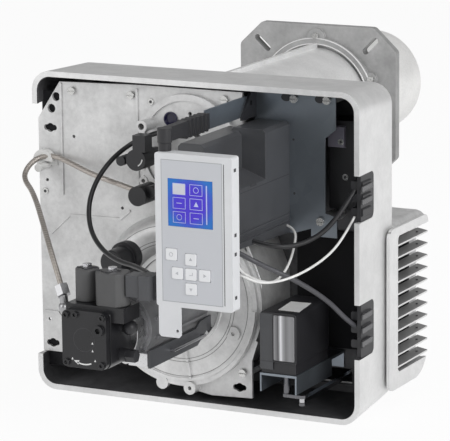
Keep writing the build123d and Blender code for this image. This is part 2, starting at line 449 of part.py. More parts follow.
def cord(name, points, diameter):
    """Round lead along straight runs joined by arcs, made whole and printed with its bends."""
    runs = [math.dist(a, b) for a, b in zip(points, points[1:])]
    radii = []
    for i in range(1, len(points) - 1):
        before = Vector(*points[i]) - Vector(*points[i - 1])
        after = Vector(*points[i + 1]) - Vector(*points[i])
        half = math.radians(before.get_angle(after)) / 2
        radii.append(BEND_SHARE * min(runs[i - 1], runs[i]) / math.tan(half))
    path = FilletPolyline(*points, radius=radii)
    lead = sweep(Plane(path @ 0, z_dir=path % 0) * Circle(diameter / 2), path=path)
    expected = math.pi * diameter**2 / 4 * path.length
    print(name, "radii", [round(r, 1) for r in radii], "length", round(path.length, 1),
          "volume share", round(lead.volume / expected, 4))
    return lead


def casing_block(inset, front, back):
    """The drafted casing outline, drawn in by a wall, between two depths."""

    def outline(y):
        share = y / CASING_D
        right = CASING_W - DRAFT_RIGHT * share - inset
        low = DRAFT_BOTTOM * share + inset
        high = CASING_H - DRAFT_TOP * share - inset
        shape = RectangleRounded(right - inset, high - low, CASING_R - inset)
        return at_depth(y) * Pos((inset + right) / 2, (low + high) / 2) * shape

    return loft([outline(back), outline(front)])


def notch(low, high, x0, x1):
    """Rounded opening in the right wall that runs out at the casing's front rim."""
    middle = Pos(NOTCH_DEPTH / 2 - NOTCH_R, (low + high) / 2)
    profile = middle * RectangleRounded(NOTCH_DEPTH + 2 * NOTCH_R, high - low, NOTCH_R)
    return extrude(on_side(x0) * profile, amount=x1 - x0)


def gland_notches():
    return [notch(low, high, CASING_W - NOTCH_CUT, CASING_W + 1) for low, high in NOTCHES]


def casing():
    shell = casing_block(0, 0, CASING_D)
    shell -= casing_block(LIP_INSET, -1, LIP_DEPTH)
    shell -= casing_block(CASING_WALL, LIP_DEPTH - 1, WEB_FRONT)
    shell -= block(-1, LIP_INSET + 1, -1, WEB_FRONT, LEFT_OPEN_LOW, LEFT_OPEN_HIGH)
    for x, z in PLATE_POSTS:
        shell += rod(x, z, POST_R, WEB_FRONT, PLATE_BACK)
    for x, z in BRACKET_POSTS:
        shell += rod(x, z, POST_R, WEB_FRONT, BOX_BACK + BRACKET_T)
    shell -= rod(AXIS_X, AXIS_Z, NECK_R, CASING_D + 1, WEB_FRONT - 1)
    shell -= rod(FAN_X, FAN_Z, EYE_R, CASING_D + 1, WEB_FRONT - 1)
    x0, x1, z0, z1 = LINK_SLOT
    shell -= block(x0, x1, WEB_FRONT - 1, CASING_D + 1, z0, z1)
    for cut in gland_notches():
        shell -= cut
    for x, z in PLATE_POSTS:
        shell -= rod(x, z, SCREW_SHANK_R, PLATE_BACK + SCREW_SHANK_L, PLATE_BACK - 1)
    for x, z in BRACKET_POSTS:
        shell -= rod(x, z, SCREW_SHANK_R, BOX_BACK + SCREW_SHANK_L, BOX_BACK)
    return shell


def keyhole(x, z):
    return Pos(x, z) * (SlotOverall(KEYHOLE_L, KEYHOLE_H) + Circle(KEYHOLE_R))


def base_plate():
    outline = Pos(FAN_X, FAN_Z) * Circle(PLATE_ARC_R) + flat(PLATE_EDGE) + flat(PLATE_LOBE)
    for x, z in PLATE_NOTCHES:
        outline -= Pos(x, z) * Circle(PLATE_NOTCH_R)
    for x, z in KEYHOLES:
        outline -= keyhole(x, z)
    for x, z in PLATE_HOLES:
        outline -= Pos(x, z) * Circle(PLATE_HOLE_R)
    for x, z in PLATE_POSTS:
        outline -= Pos(x, z) * Circle(SCREW_SHANK_R)
    outline -= Pos(AXIS_X, AXIS_Z) * Circle(PLATE_HEAD_R)
    outline -= Pos(FAN_X, FAN_Z) * Circle(PLATE_FAN_R)
    plate = slab(outline, PLATE_BACK, PLATE_FRONT)
    for path in RIDGE_PATHS:
        plate += rail(path, RIDGE_W, PLATE_FRONT, PLATE_FRONT - RIDGE_H)
    for x, z, r, height in BOSSES:
        plate += ring(x, z, r, BOSS_BORE_R, PLATE_FRONT, PLATE_FRONT - height)
    return plate


def sector(r0, r1, start, sweep_angle, back, front):
    """Part of a flat ring about the fan axis."""
    steps = 8
    angles = [math.radians(start + sweep_angle * i / steps) for i in range(steps + 1)]
    outer = [(FAN_X + r1 * math.cos(a), FAN_Z + r1 * math.sin(a)) for a in angles]
    inner = [(FAN_X + r0 * math.cos(a), FAN_Z + r0 * math.sin(a)) for a in reversed(angles)]
    return slab(flat(outer + inner), back, front)


def bulge():
    """Rounded swelling of the volute round the upper part of the fan cover."""
    plane = Plane(origin=(FAN_X, 0, FAN_Z), x_dir=(1, 0, 0), z_dir=(0, 0, 1))
    foot, crest = (COVER_R - BULGE_W, COVER_FRONT), (COVER_R - BULGE_TOP, COVER_FRONT - BULGE_H)
    rim = (COVER_R, COVER_FRONT)
    profile = plane * make_face(ThreePointArc(foot, crest, rim) + Line(rim, foot))
    axis = Axis((FAN_X, 0, FAN_Z), (0, -1, 0))
    return revolve(profile.rotate(axis, BULGE_FROM), axis, BULGE_SWEEP)


def volute_cover():
    cover = ring(FAN_X, FAN_Z, COVER_R, COVER_BORE_R, COVER_BACK, COVER_FRONT)
    for inner, outer, height in COVER_RINGS:
        cover += ring(FAN_X, FAN_Z, outer, inner, COVER_FRONT, COVER_FRONT - height)
    half = RIB_W / 2
    cover += sector(RIB_R - half, RIB_R + half - 1, RIB_FROM, RIB_SWEEP, COVER_FRONT, COVER_FRONT - RIB_H)
    spoke = math.radians(SPOKE_ANGLE)
    ends = [(FAN_X + r * math.cos(spoke), FAN_Z + r * math.sin(spoke)) for r in (SPOKE_R0, SPOKE_R1)]
    cover += rail(ends, SPOKE_W, COVER_FRONT, COVER_FRONT - RIB_H)
    for x, z, r, height in COVER_BOSSES:
        cover += ring(x, z, r, BOSS_BORE_R, COVER_BACK, COVER_FRONT - height)
    for x, z in COVER_LUGS:
        cover += rod(x, z, LUG_R, COVER_BACK, COVER_FRONT - 1)
    return cover + bulge()


def scroll_housing():
    outer = Pos(FAN_X, FAN_Z) * Circle(SCROLL_R) + flat(SCROLL_DUCT)
    inner = Pos(FAN_X, FAN_Z) * Circle(SCROLL_R - SCROLL_WALL) + flat(SCROLL_INNER)
    body = slab(outer, WEB_FRONT, PLATE_BACK) - slab(inner, SCROLL_BACK, PLATE_BACK - 1)
    body -= rod(FAN_X, FAN_Z, EYE_R, WEB_FRONT + 1, SCROLL_BACK - 1)
    body -= rod(AXIS_X, AXIS_Z, NECK_R, WEB_FRONT + 1, PLATE_BACK - 1)
    for x, z in PLATE_POSTS:
        body -= rod(x, z, POST_R, WEB_FRONT + 1, PLATE_BACK - 1)
    return body


def neck():
    tube = rod(AXIS_X, AXIS_Z, NECK_R, NECK_END, PLATE_BACK)
    half = NECK_RIB_W / 2
    top = AXIS_Z + NECK_R
    tube += block(AXIS_X - half, AXIS_X + half, CASING_D + 1, NECK_END - COLLAR_T,
                  top - NECK_RIB_SINK, top + NECK_RIB_H)
    tube -= rod(AXIS_X, AXIS_Z, NECK_R - NECK_WALL, NECK_END + 1, PLATE_BACK - 1)
    side, y0, y1 = NECK_WINDOW
    return tube - block(AXIS_X - side, AXIS_X + side, y0, y1, AXIS_Z - NECK_R - 1, AXIS_Z - NECK_R / 2)


def head_cover():
    cover = rod(HEAD_X, HEAD_Z, HEAD_R, PLATE_FRONT, HEAD_FRONT)
    cover += ring(HEAD_X, HEAD_Z, HEAD_R, HEAD_R - HEAD_RING_W, HEAD_FRONT, HEAD_FRONT - HEAD_RING_H)
    x, z, r, height, bore = HEAD_BOSS
    cover += rod(x, z, r, HEAD_FRONT, HEAD_FRONT - height)
    cover -= rod(x, z, bore, HEAD_FRONT, HEAD_FRONT - height)
    for x, z, r, height in BOSSES:
        cover -= rod(x, z, r, PLATE_FRONT, PLATE_FRONT - height)
    x, z, r = HEAD_HOLE
    cover -= rod(x, z, r, PLATE_FRONT + 1, HEAD_FRONT - 1)
    return cover - rod(SIGHT_X, SIGHT_Z, SIGHT_R, PLATE_FRONT + 1, HEAD_FRONT - 1)


def sight_glass():
    rim = ring(SIGHT_X, SIGHT_Z, SIGHT_R, SIGHT_GLASS_R, PLATE_FRONT, HEAD_FRONT - 2)
    return rim + rod(SIGHT_X, SIGHT_Z, SIGHT_R, PLATE_FRONT, PLATE_FRONT - SIGHT_T + 2)


def nozzle_rod():
    pipe = rod(AXIS_X, AXIS_Z, NOZZLE_ROD_R, NOZZLE_ROD_END, PLATE_FRONT)
    pipe += slab(Pos(AXIS_X, AXIS_Z) * RegularPolygon(NOZZLE_HEX, 6), NOZZLE_END, NOZZLE_ROD_END)
    pipe += rod(AXIS_X, AXIS_Z, NOZZLE_TIP_R, NOZZLE_END + NOZZLE_TIP_L, NOZZLE_END)
    start, end = Vector(FEED_X, FEED_Y, FEED_Z), Vector(AXIS_X, FEED_Y, AXIS_Z)
    along = end - start
    pipe += extrude(Plane(start, z_dir=along) * Circle(FEED_R), amount=along.length)
    return pipe + rod(FEED_X, FEED_Z, FEED_R, FEED_Y + FEED_R, PLATE_FRONT)


def diffuser_disc():
    disc = Circle(DISC_R) - Circle(DISC_BORE)
    for i in range(DISC_SLOTS):
        turn = 360 / DISC_SLOTS * i
        cut = Rectangle(DISC_R - DISC_BORE - 2 * DISC_SLOT_END, DISC_SLOT_W)
        disc -= Rot(0, 0, turn) * Pos((DISC_R + DISC_BORE) / 2, 0) * cut
    plate = slab(Pos(AXIS_X, AXIS_Z) * disc, DISC_Y + DISC_T, DISC_Y)
    hub = ring(AXIS_X, AXIS_Z, DISC_HUB_R, NOZZLE_ROD_R, DISC_HUB_Y + DISC_HUB_L, DISC_HUB_Y)
    back = DISC_HUB_Y + DISC_HUB_L
    for i in range(STRUT_COUNT):
        turn = math.radians(90 + 360 / STRUT_COUNT * i)
        out, foot = DISC_BORE + 2 * STRUT_W, DISC_HUB_R - 1
        x, z = AXIS_X + out * math.cos(turn), AXIS_Z + out * math.sin(turn)
        foot_x, foot_z = AXIS_X + foot * math.cos(turn), AXIS_Z + foot * math.sin(turn)
        hub += rail(((foot_x, foot_z), (x, z)), STRUT_W, back, back - STRUT_L)
        hub += rod(x, z, STRUT_R, DISC_Y, back - STRUT_L)
    return plate + hub


def ignition_electrodes():
    length = 2 * (ELECTRODE_X + ELECTRODE_R + CLAMP_RIM)
    outline = SlotOverall(length, CLAMP_H) - Circle(NOZZLE_ROD_R)
    clamp = slab(Pos(AXIS_X, AXIS_Z) * outline, CLAMP_Y + CLAMP_T, CLAMP_Y)
    for side in (-1, 1):
        clamp += rod(AXIS_X + side * ELECTRODE_X, AXIS_Z, ELECTRODE_R, ELECTRODE_END, ELECTRODE_START)
    return clamp


def flange_outline(edge, bore):
    """The eight-sided flange with its slanted stud slots, drawn in by an edge."""
    w, h, cx, cz = FLANGE_HALF_W - edge, FLANGE_HALF_H - edge, FLANGE_CHAMFER_X, FLANGE_CHAMFER_Z
    upper = [(w, h - cz), (w - cx, h), (cx - w, h), (-w, h - cz)]
    lower = [(-w, cz - h), (cx - w, -h), (w - cx, -h), (w, cz - h)]
    outline = flat(upper + lower)
    outline = fillet(outline.vertices(), FLANGE_CORNER) - Circle(bore)
    for angle in SLOT_ANGLES:
        outline -= Rot(0, 0, angle) * Pos(SLOT_PCR, 0) * SlotOverall(SLOT_LEN, SLOT_W)
    return Pos(AXIS_X, AXIS_Z) * outline


def boiler_flange():
    back = NECK_END + FLANGE_T
    flange = slab(flange_outline(0, FLANGE_BORE_R), back, NECK_END)
    flange -= rod(AXIS_X, AXIS_Z, TUBE_ROOT_R, back + 1, back - TUBE_SOCKET_DEPTH)
    collar = Circle(COLLAR_R1) + Pos(0, COLLAR_R1) * Circle(COLLAR_LUG)
    for side in (-1, 1):
        collar += Rot(0, 0, side * COLLAR_TURN) * Pos(0, COLLAR_R1) * Circle(COLLAR_EAR)
    collar -= Circle(COLLAR_R0)
    return flange + slab(Pos(AXIS_X, AXIS_Z) * collar, NECK_END, NECK_END - COLLAR_T)


def flange_gasket():
    return slab(flange_outline(GASKET_EDGE, TUBE_R + GASKET_GAP), FACE_Y, FACE_Y - GASKET_T)


def blast_tube():
    start = NECK_END + FLANGE_T - TUBE_SOCKET_DEPTH
    tube = ring(AXIS_X, AXIS_Z, TUBE_R, TUBE_R - TUBE_WALL, TUBE_END, FACE_Y)
    tube += ring(AXIS_X, AXIS_Z, TUBE_ROOT_R, TUBE_R - TUBE_WALL, FACE_Y, start)
    return tube + ring(AXIS_X, AXIS_Z, TUBE_R, TUBE_R - TUBE_WALL - TUBE_LIP, TUBE_END, TUBE_END - TUBE_LIP)


def intake_side(front, low, high, edge):
    """Side profile of the intake: small corner at the top of its back, wide one at the foot."""
    back = INTAKE[2] - edge
    outline = flat([(front, low + edge), (back, low + edge), (back, high - edge), (front, high - edge)])
    corners = outline.vertices().sort_by(Axis.X)[-2:].sort_by(Axis.Y)
    outline = fillet(corners[0], INTAKE_LOW_R - edge)
    top = outline.vertices().sort_by(Axis.Y)[-2:].sort_by(Axis.X)[-1]
    return fillet(top, INTAKE_TOP_R - edge)


def intake_housing():
    x0, x1, y1, z0, z1 = INTAKE
    wall = INTAKE_WALL
    front, bay = CASING_D, x1 - BAY_DEEP
    shell = rounded(x0, x1, z0, z1, INTAKE_R, y1, front)
    shell &= extrude(on_side(x0) * intake_side(front, z0, z1, 0), amount=x1 - x0)
    low, high = GRILLE_OPEN[2] - 1, GRILLE_OPEN[3] + 1
    shell -= block(bay, x1 + 1, front - 1, y1 + 1, low, high)
    room = rounded(x0 + wall, bay - wall, z0 + wall, z1 - wall, INTAKE_R - wall, y1, front - 1)
    shell -= room & extrude(on_side(x0) * intake_side(front - 1, z0, z1, wall), amount=x1 - x0)
    shell -= block(bay - wall - INTAKE_R, bay + 1, front - 1, y1 - BAY_WALL_W, low + 1, high - 1)
    half = DAMPER_SEAT_HALF
    for seat in (DAMPER_Z0 - DAMPER_SEAT_LOW, DAMPER_Z1 + DAMPER_SEAT_HIGH):
        shell += block(DAMPER_X - half, DAMPER_X + half, DAMPER_Y, y1 - wall, seat, seat + DAMPER_SEAT_T)
    shell -= post(DAMPER_X, DAMPER_Y, DAMPER_SHAFT_R + RUN_GAP,
                  DAMPER_Z0 - DAMPER_SEAT_LOW - 1, DAMPER_Z1 + DAMPER_SHAFT_RISE + 1)
    return shell


def slat(z):
    """Fin that stands free at the back, leaning down and out."""
    length = GRILLE_OPEN[1] - GRILLE_OPEN[0] - SLAT_END + 1
    blade = Pos(SLAT_X, GRILLE_OPEN[0] - 1 + length / 2, z) * Rot(0, SLAT_TILT, 0)
    return blade * Box(SLAT_W, length, SLAT_T)


def intake_grille():
    x0 = INTAKE[1]
    y0, y1, z0, z1 = GRILLE_OPEN
    face = intake_side(GRILLE_Y0, GRILLE_Z0, GRILLE_Z1, 0)
    fronts = face.vertices().sort_by(Axis.X)[:2]
    face = fillet(fronts, GRILLE_R)
    face -= Pos((y0 + y1) / 2 + GRILLE_R, (z0 + z1) / 2) * RectangleRounded(
        y1 - y0 + 2 * GRILLE_R, z1 - z0, GRILLE_RIM
    )
    frame = extrude(on_side(x0) * face, amount=GRILLE_T)
    spine = block(x0, x0 + GRILLE_T, y0 - 2, y1, z0 - 2, z1 + 2)
    keep = spine + block(x0 - BAY_DEEP + RUN_GAP, x0 + 1, y0, y1, z0, z1)
    for i in range(SLAT_COUNT):
        frame += slat(SLAT_Z + SLAT_PITCH * i) & keep
    return frame


def intake_foam():
    x0, x1, z0, z1 = FOAM
    sheet = block(x0, x1, WEB_FRONT - FOAM_T, WEB_FRONT, z0, z1)
    start, low, high, gap = FOAM_BACK
    inside = INTAKE[2] - INTAKE_WALL
    back = block(start, DAMPER_X - gap, inside - FOAM_T, inside, low, high)
    return group(sheet, back)


def damper_link():
    bar = Pos(DAMPER_X + ARM_L, 0) * Pos(0, (SERVO_Y + DAMPER_Y) / 2) * Rot(0, 0, 90)
    outline = bar * SlotOverall(DAMPER_Y - SERVO_Y + LINK_W, LINK_W)
    outline -= Pos(DAMPER_X + ARM_L, SERVO_Y) * Circle(LINK_BORE)
    outline -= Pos(DAMPER_X + ARM_L, DAMPER_Y) * Circle(LINK_REAR_BORE)
    return extrude(Plane.XY.offset(LINK_Z0) * outline, amount=LINK_Z1 - LINK_Z0)


def lever(y):
    """Arm with its hanging crank pin, alike on the servo and on the damper."""
    outline = Pos(DAMPER_X + ARM_L / 2, y) * SlotOverall(ARM_L + ARM_W, ARM_W)
    arm = extrude(Plane.XY.offset(ARM_Z0) * outline, amount=ARM_Z1 - ARM_Z0)
    arm += post(DAMPER_X + ARM_L, y, PIN_R, PIN_LOW, ARM_Z0)
    return arm + post(DAMPER_X + ARM_L, y, PIN_HEAD_R, PIN_LOW, LINK_Z0 - HEAD_GAP)


def servo_shaft():
    return lever(SERVO_Y) + post(DAMPER_X, SERVO_Y, SERVO_SHAFT_R, ARM_Z0, SERVO_SHAFT_TOP)


def air_damper():
    flap = block(DAMPER_X - DAMPER_T / 2, DAMPER_X + DAMPER_T / 2,
                 DAMPER_Y - DAMPER_HALF, DAMPER_Y + DAMPER_HALF, DAMPER_Z0, DAMPER_Z1)
    top = DAMPER_Z1 + DAMPER_SHAFT_RISE
    return flap + lever(DAMPER_Y) + post(DAMPER_X, DAMPER_Y, DAMPER_SHAFT_R, ARM_Z0, top)


def servo_body():
    x0, x1, y0, y1, z0, z1 = SERVO
    body = block(x0, x1, y0, y1, z0 + SERVO_SKIRT, z1)
    body += block(x0 + SERVO_INSET, x1 - SERVO_INSET, y0 + SERVO_INSET, y1, z0, z0 + SERVO_SKIRT)
    body = chamfer(body.edges().filter_by(Axis.Y).group_by(Axis.Z)[-1], SERVO_BEVEL)
    return body - post(DAMPER_X, SERVO_Y, SERVO_SHAFT_R + RUN_GAP, z0 - 1, SERVO_SHAFT_TOP + 1)


def servo_window():
    x0, x1, z0, z1 = WINDOW
    return rounded(x0, x1, z0, z1, WINDOW_R, SERVO[2], SERVO[2] - WINDOW_T)


def servo_bracket():
    x0, x1, y0, y1, z0, z1 = SERVO
    top = block(x0, x1, y0, WEB_FRONT, z0 - SERVO_BRACKET_T, z0)
    thin = SERVO_SKIRT_T
    for x in (x0, x1 - thin):
        top += block(x, x + thin, y0, SERVO_SKIRT_Y, SERVO_SKIRT_Z, z0)
    top += block(x0, x1, WEB_FRONT - thin, WEB_FRONT, SERVO_SKIRT_Z + thin, z0)
    return top - post(DAMPER_X, SERVO_Y, SERVO_SHAFT_R + 1, z0 - SERVO_BRACKET_T - 1, z0 + 1)


def motor_body():
    body = rod(FAN_X, FAN_Z, MOTOR_R, COVER_FRONT, MOTOR_FRONT)
    for i in range(MOTOR_RIB_COUNT):
        turn = 360 / MOTOR_RIB_COUNT * i + MOTOR_RIB_TURN
        if CAP_GAP_FROM < turn < CAP_GAP_TO:
            continue
        bar = Pos(MOTOR_R - MOTOR_RIB_SINK / 2, 0) * Rectangle(MOTOR_RIB_H + MOTOR_RIB_SINK, MOTOR_RIB_W)
        rib = Pos(FAN_X, FAN_Z) * Rot(0, 0, turn) * bar
        body += slab(rib, COVER_FRONT - MOTOR_RIB_BACK, MOTOR_FRONT + MOTOR_RIB_FRONT)
    low, high = SERVICE_MID - SERVICE_REACH, SERVICE_MID + SERVICE_REACH
    side = SERVICE_X - SERVICE_GAP
    body -= block(side, side + MOTOR_RIB_H, SERVICE_Y0 - 1, COVER_FRONT + 1, low, high)
    return body - rod(FAN_X, FAN_Z, SHAFT_R + RUN_GAP, COVER_FRONT + 1, MOTOR_FRONT - 1)


def motor_shaft():
    return rod(FAN_X, FAN_Z, SHAFT_R, SHAFT_BACK, SHAFT_FRONT)


def fan_wheel():
    wheel = rod(FAN_X, FAN_Z, WHEEL_R1, WHEEL_Y0 + WHEEL_DISC_T, WHEEL_Y0)
    wheel += rod(FAN_X, FAN_Z, WHEEL_HUB_R, WHEEL_Y0 + WHEEL_HUB_L, WHEEL_Y0)
    wheel += ring(FAN_X, FAN_Z, WHEEL_R1, WHEEL_R0, WHEEL_Y1, WHEEL_Y1 - WHEEL_DISC_T)
    for i in range(WHEEL_BLADES):
        blade = Pos(FAN_X, FAN_Z) * Rot(0, 0, 360 / WHEEL_BLADES * i) * Pos((WHEEL_R0 + WHEEL_R1) / 2, 0)
        blade = blade * Rot(0, 0, BLADE_TURN) * Rectangle(WHEEL_BLADE_H - BLADE_SHORT, BLADE_T)
        wheel += slab(blade, WHEEL_Y1 - 1, WHEEL_Y0 + 1)
    return wheel - rod(FAN_X, FAN_Z, SHAFT_R, WHEEL_Y1, WHEEL_Y0 - 1)


def motor_capacitor():
    can = rod(CAP_X, CAP_Z, CAP_R, CAP_MID, CAP_FRONT) + rod(CAP_X, CAP_Z, CAP_RING_R, CAP_BACK, CAP_MID)
    saddle = rail(((CAP_X, CAP_Z), (FAN_X, FAN_Z)), CAP_SADDLE_W, CAP_BACK, CAP_MID)
    return can + (saddle - rod(FAN_X, FAN_Z, MOTOR_R, CAP_BACK + 1, CAP_MID - 1))


def pump_adapter():
    body = rod(FAN_X, FAN_Z, ADAPTER_R, MOTOR_FRONT, ADAPTER_FRONT)
    body += block(*ADAPTER_EAR)
    return body - rod(FAN_X, FAN_Z, ADAPTER_BORE, MOTOR_FRONT + 1, ADAPTER_FRONT - 1)


def pump_outline(inset):
    x0, x1, _, z0, z1 = PUMP
    width, height = x1 - x0 - 2 * inset, z1 - z0 - 2 * inset
    return Pos((x0 + x1) / 2, (z0 + z1) / 2) * RectangleRounded(width, height, PUMP_CORNER - inset)


def pump_body():
    front = PUMP[2]
    body = slab(pump_outline(0), ADAPTER_FRONT, front)
    x0, x1, y0, y1, z1 = PUMP_TOP
    body += block(x0, x1, y0, y1, PUMP[4] - PUMP_TOP_SINK, z1)
    body -= rod(FAN_X, FAN_Z, SHAFT_R + RUN_GAP, ADAPTER_FRONT + 1, SHAFT_FRONT - 1)
    x, y = RETURN_PORT
    return body - post(x, y, RETURN_R, PUMP[3] - 1, PUMP[3] + RETURN_DEPTH)


def pump_cover():
    cover = slab(pump_outline(PUMP_COVER_INSET), PUMP[2], PUMP_COVER_FRONT)
    for x, z in PUMP_SCREWS:
        cover += rod(x, z, PUMP_SCREW_R, PUMP_COVER_FRONT, PUMP_COVER_FRONT - PUMP_SCREW_H)
        cover -= rod(x, z, PUMP_SCREW_R / 2, PUMP_COVER_FRONT - 1, PUMP_COVER_FRONT - PUMP_SCREW_H)
    x, z, r, height = PUMP_RING
    return cover + ring(x, z, r, r / 2, PUMP_COVER_FRONT, PUMP_COVER_FRONT - height)


def stub(x, z, r, length, y=PORT_Y):
    """Round stub standing out to the right of the pump side."""
    return extrude(Plane(origin=(x, y, z), x_dir=(0, 1, 0), z_dir=(1, 0, 0)) * Circle(r), amount=length)


def pump_plugs():
    side = PUMP[1]
    ball = stub(side, BALL_Z, BALL_STEM_R, BALL_STEM_L)
    ball += Pos(side + BALL_OUT, PORT_Y, BALL_Z) * Sphere(BALL_R)
    low = stub(side, HEX_PLUG_Z, HEX_PLUG_R, HEX_STEM_L)
    hexagon = Plane(origin=(side + HEX_STEM_L, PORT_Y, HEX_PLUG_Z), x_dir=(0, 1, 0), z_dir=(1, 0, 0))
    low += extrude(hexagon * RegularPolygon(HEX_PLUG_R, 6), amount=HEX_PLUG_L)
    return group(ball, low)


def coil_left():
    x, y, r, z0, z1 = COIL_L
    return post(x, y, r, z0, z1) - post(x, y, STEM_R, STEM_LOW, STEM_TOP)


def coil_right():
    outline = Circle(COIL_R_W / 2) & Rectangle(COIL_R_W, COIL_R_D)
    body = extrude(Plane.XY.offset(PUMP_TOP[4]) * Pos(COIL_R_MID, COIL_R_Y) * outline, amount=COIL_R_H)
    return body - post(COIL_R_MID, COIL_R_Y, STEM_R, STEM_LOW, STEM_TOP)


def armature(x, y):
    return post(x, y, ARMATURE_R, ARMATURE_Z0, ARMATURE_Z0 + ARMATURE_L)


def armature_left():
    return armature(COIL_L[0], COIL_L[1])


def armature_right():
    return armature(COIL_R_MID, COIL_R_Y)


def hexnut(x, y, z):
    return extrude(Plane.XY.offset(z) * Pos(x, y) * RegularPolygon(NUT_R, 6), amount=NUT_H)


def coil_nuts():
    return group(hexnut(COIL_L[0], COIL_L[1], COIL_L[4]), hexnut(COIL_R_MID, COIL_R_Y, COIL_R_Z1))


def coil_plug():
    first = block(*PLUG_A)
    second = chamfer(block(*PLUG_B).edges().filter_by(Axis.Z).group_by(Axis.X)[-1], PLUG_BEVEL)
    return first + second


def hose_fitting():
    side = Plane(origin=(PUMP[0], PORT_Y, NIPPLE_Z), z_dir=(-1, 0, 0))
    nipple = extrude(side * Circle(NIPPLE_R), amount=NIPPLE_L)
    nipple += Pos(NIPPLE_X, PORT_Y, NIPPLE_Z) * Sphere(NIPPLE_BALL)
    start, toward = Vector(*HOSE_ROUTE[0]), Vector(*HOSE_ROUTE[1]) - Vector(*HOSE_ROUTE[0])
    foot = Vector(NIPPLE_X, PORT_Y, NIPPLE_Z)
    neck_dir = start - foot
    nipple += extrude(Plane(foot, z_dir=neck_dir) * Circle(NIPPLE_NECK), amount=neck_dir.length)
    low = Plane(start - toward.normalized() * HOSE_NUT_BACK, z_dir=toward)
    return nipple + extrude(low * RegularPolygon(HOSE_NUT_R, 6), amount=HOSE_NUT_L)


def hose_saddle():
    upper = Pos(0, SADDLE_LOW + SADDLE_R) * Rectangle(2 * SADDLE_R, 2 * SADDLE_R)
    half = Pos(SADDLE_X, SADDLE_Z) * (Circle(SADDLE_R) & upper)
    disc = slab(half, PLATE_FRONT, PLATE_FRONT - SADDLE_T)
    return disc + rod(SADDLE_X, SADDLE_Z, PEG_R, PLATE_FRONT, PLATE_FRONT - PEG_L)


def nozzle_elbow():
    body = rod(ELBOW_X, ELBOW_Z, ELBOW_R, ELBOW_BACK, ELBOW_FRONT)
    path = ((ELBOW_X, ELBOW_Z), (FEED_X, FEED_Z))
    body += rail(path, ELBOW_NECK_W, ELBOW_BACK - ELBOW_STEP, ELBOW_TOP)
    return body + rod(FEED_X, FEED_Z, ELBOW_FOOT_R, HEAD_FRONT, ELBOW_TOP)


def flame_sensor():
    body = rod(SENSOR_X, SENSOR_Z, SENSOR_R, SENSOR_BACK, SENSOR_FRONT)
    body += rod(SENSOR_X, SENSOR_Z, SENSOR_STEM_R, HEAD_FRONT, SENSOR_BACK)
    x, z, r, front, back = SENSOR_CAP
    body += rod(x, z, r, back, front)
    step = SENSOR_NECK_STEP
    body += rail(((x, z), (SENSOR_X, SENSOR_Z)), SENSOR_NECK_W, back - step, front + step)
    return body + block(*SENSOR_PLUG)


def control_box():
    lower = extrude(on_side(BOX_X0) * flat(BOX_SIDE), amount=BOX_X1 - BOX_X0)
    lower -= block(BOX_X0 - 1, BOX_XB, BOX_PLATE_Y, BOX_BACK + 1, BOX_LOW - 1, BOX_NOTCH_TOP)
    foot = BOX_SHOULDER_Z - HOOD_SINK / 2
    ledge = (
        (BOX_X0, foot), (BOX_X1, foot), (BOX_X1, BOX_SHOULDER_Z),
        (BOX_LEDGE_X, BOX_LEDGE_Z), (BOX_X0, BOX_LEDGE_Z),
    )
    lower += slab(flat(ledge), BOX_PLATE_Y, BOX_FRONT)
    for x0, x1, y0, y1, z1 in (HOOD, HOOD_LEFT):
        hood = block(x0, x1, y0, y1, BOX_SHOULDER_Z - HOOD_SINK, z1)
        lower += chamfer(hood.edges().filter_by(Axis.Y).group_by(Axis.Z)[-1], BOX_ROUND)
    for i in range(GROOVES):
        low = GROOVE_Z + GROOVE_STEP * i
        lower -= block(BOX_X1 - GROOVE, BOX_X1 + 1, BOX_FRONT - 1, BOX_BACK + 1, low, low + GROOVE_W)
    return lower


def mounting_bracket():
    face = flat(BRACKET_EDGE)
    for x, z in BRACKET_HOLES:
        face -= Pos(x, z) * Circle(BRACKET_HOLE_R)
    for x, z in BRACKET_POSTS:
        face -= Pos(x, z) * Circle(SCREW_SHANK_R)
    sheet = slab(face, BOX_BACK + BRACKET_T, BOX_BACK)
    sheet += block(*SIDE_ARM)
    ear = flat(EAR_EDGE)
    y, z, r = EAR_HOLE
    ear -= Pos(y, z) * Circle(r)
    return sheet + extrude(on_side(EAR_X) * ear, amount=EAR_T)


def display_hinge():
    x0, x1, y_end, _, z0, z1 = SIDE_ARM
    link = block(x0 - 2, x1 + 6, LINK_HEAD_Y - 2, y_end, z0 + 3, z1 - 3)
    for i in range(LINK_FOLDS):
        y = y_end - 6 - i * LINK_PITCH
        link += block(x0 - 3.5, x1 + 7.5, y - FOLD_L, y, z0 + 1, z1 - 2)
    link += block(HINGE_X - 6, HINGE_X + 4, HINGE_Y, LINK_HEAD_Y, HINGE_Z0, HINGE_Z1)
    link += post(HINGE_X, HINGE_Y, HINGE_KNUCKLE_R, HINGE_Z0, HINGE_Z1)
    return link + post(HINGE_X, HINGE_Y, HINGE_PIN_R, HINGE_PIN_LOW, HINGE_Z0)


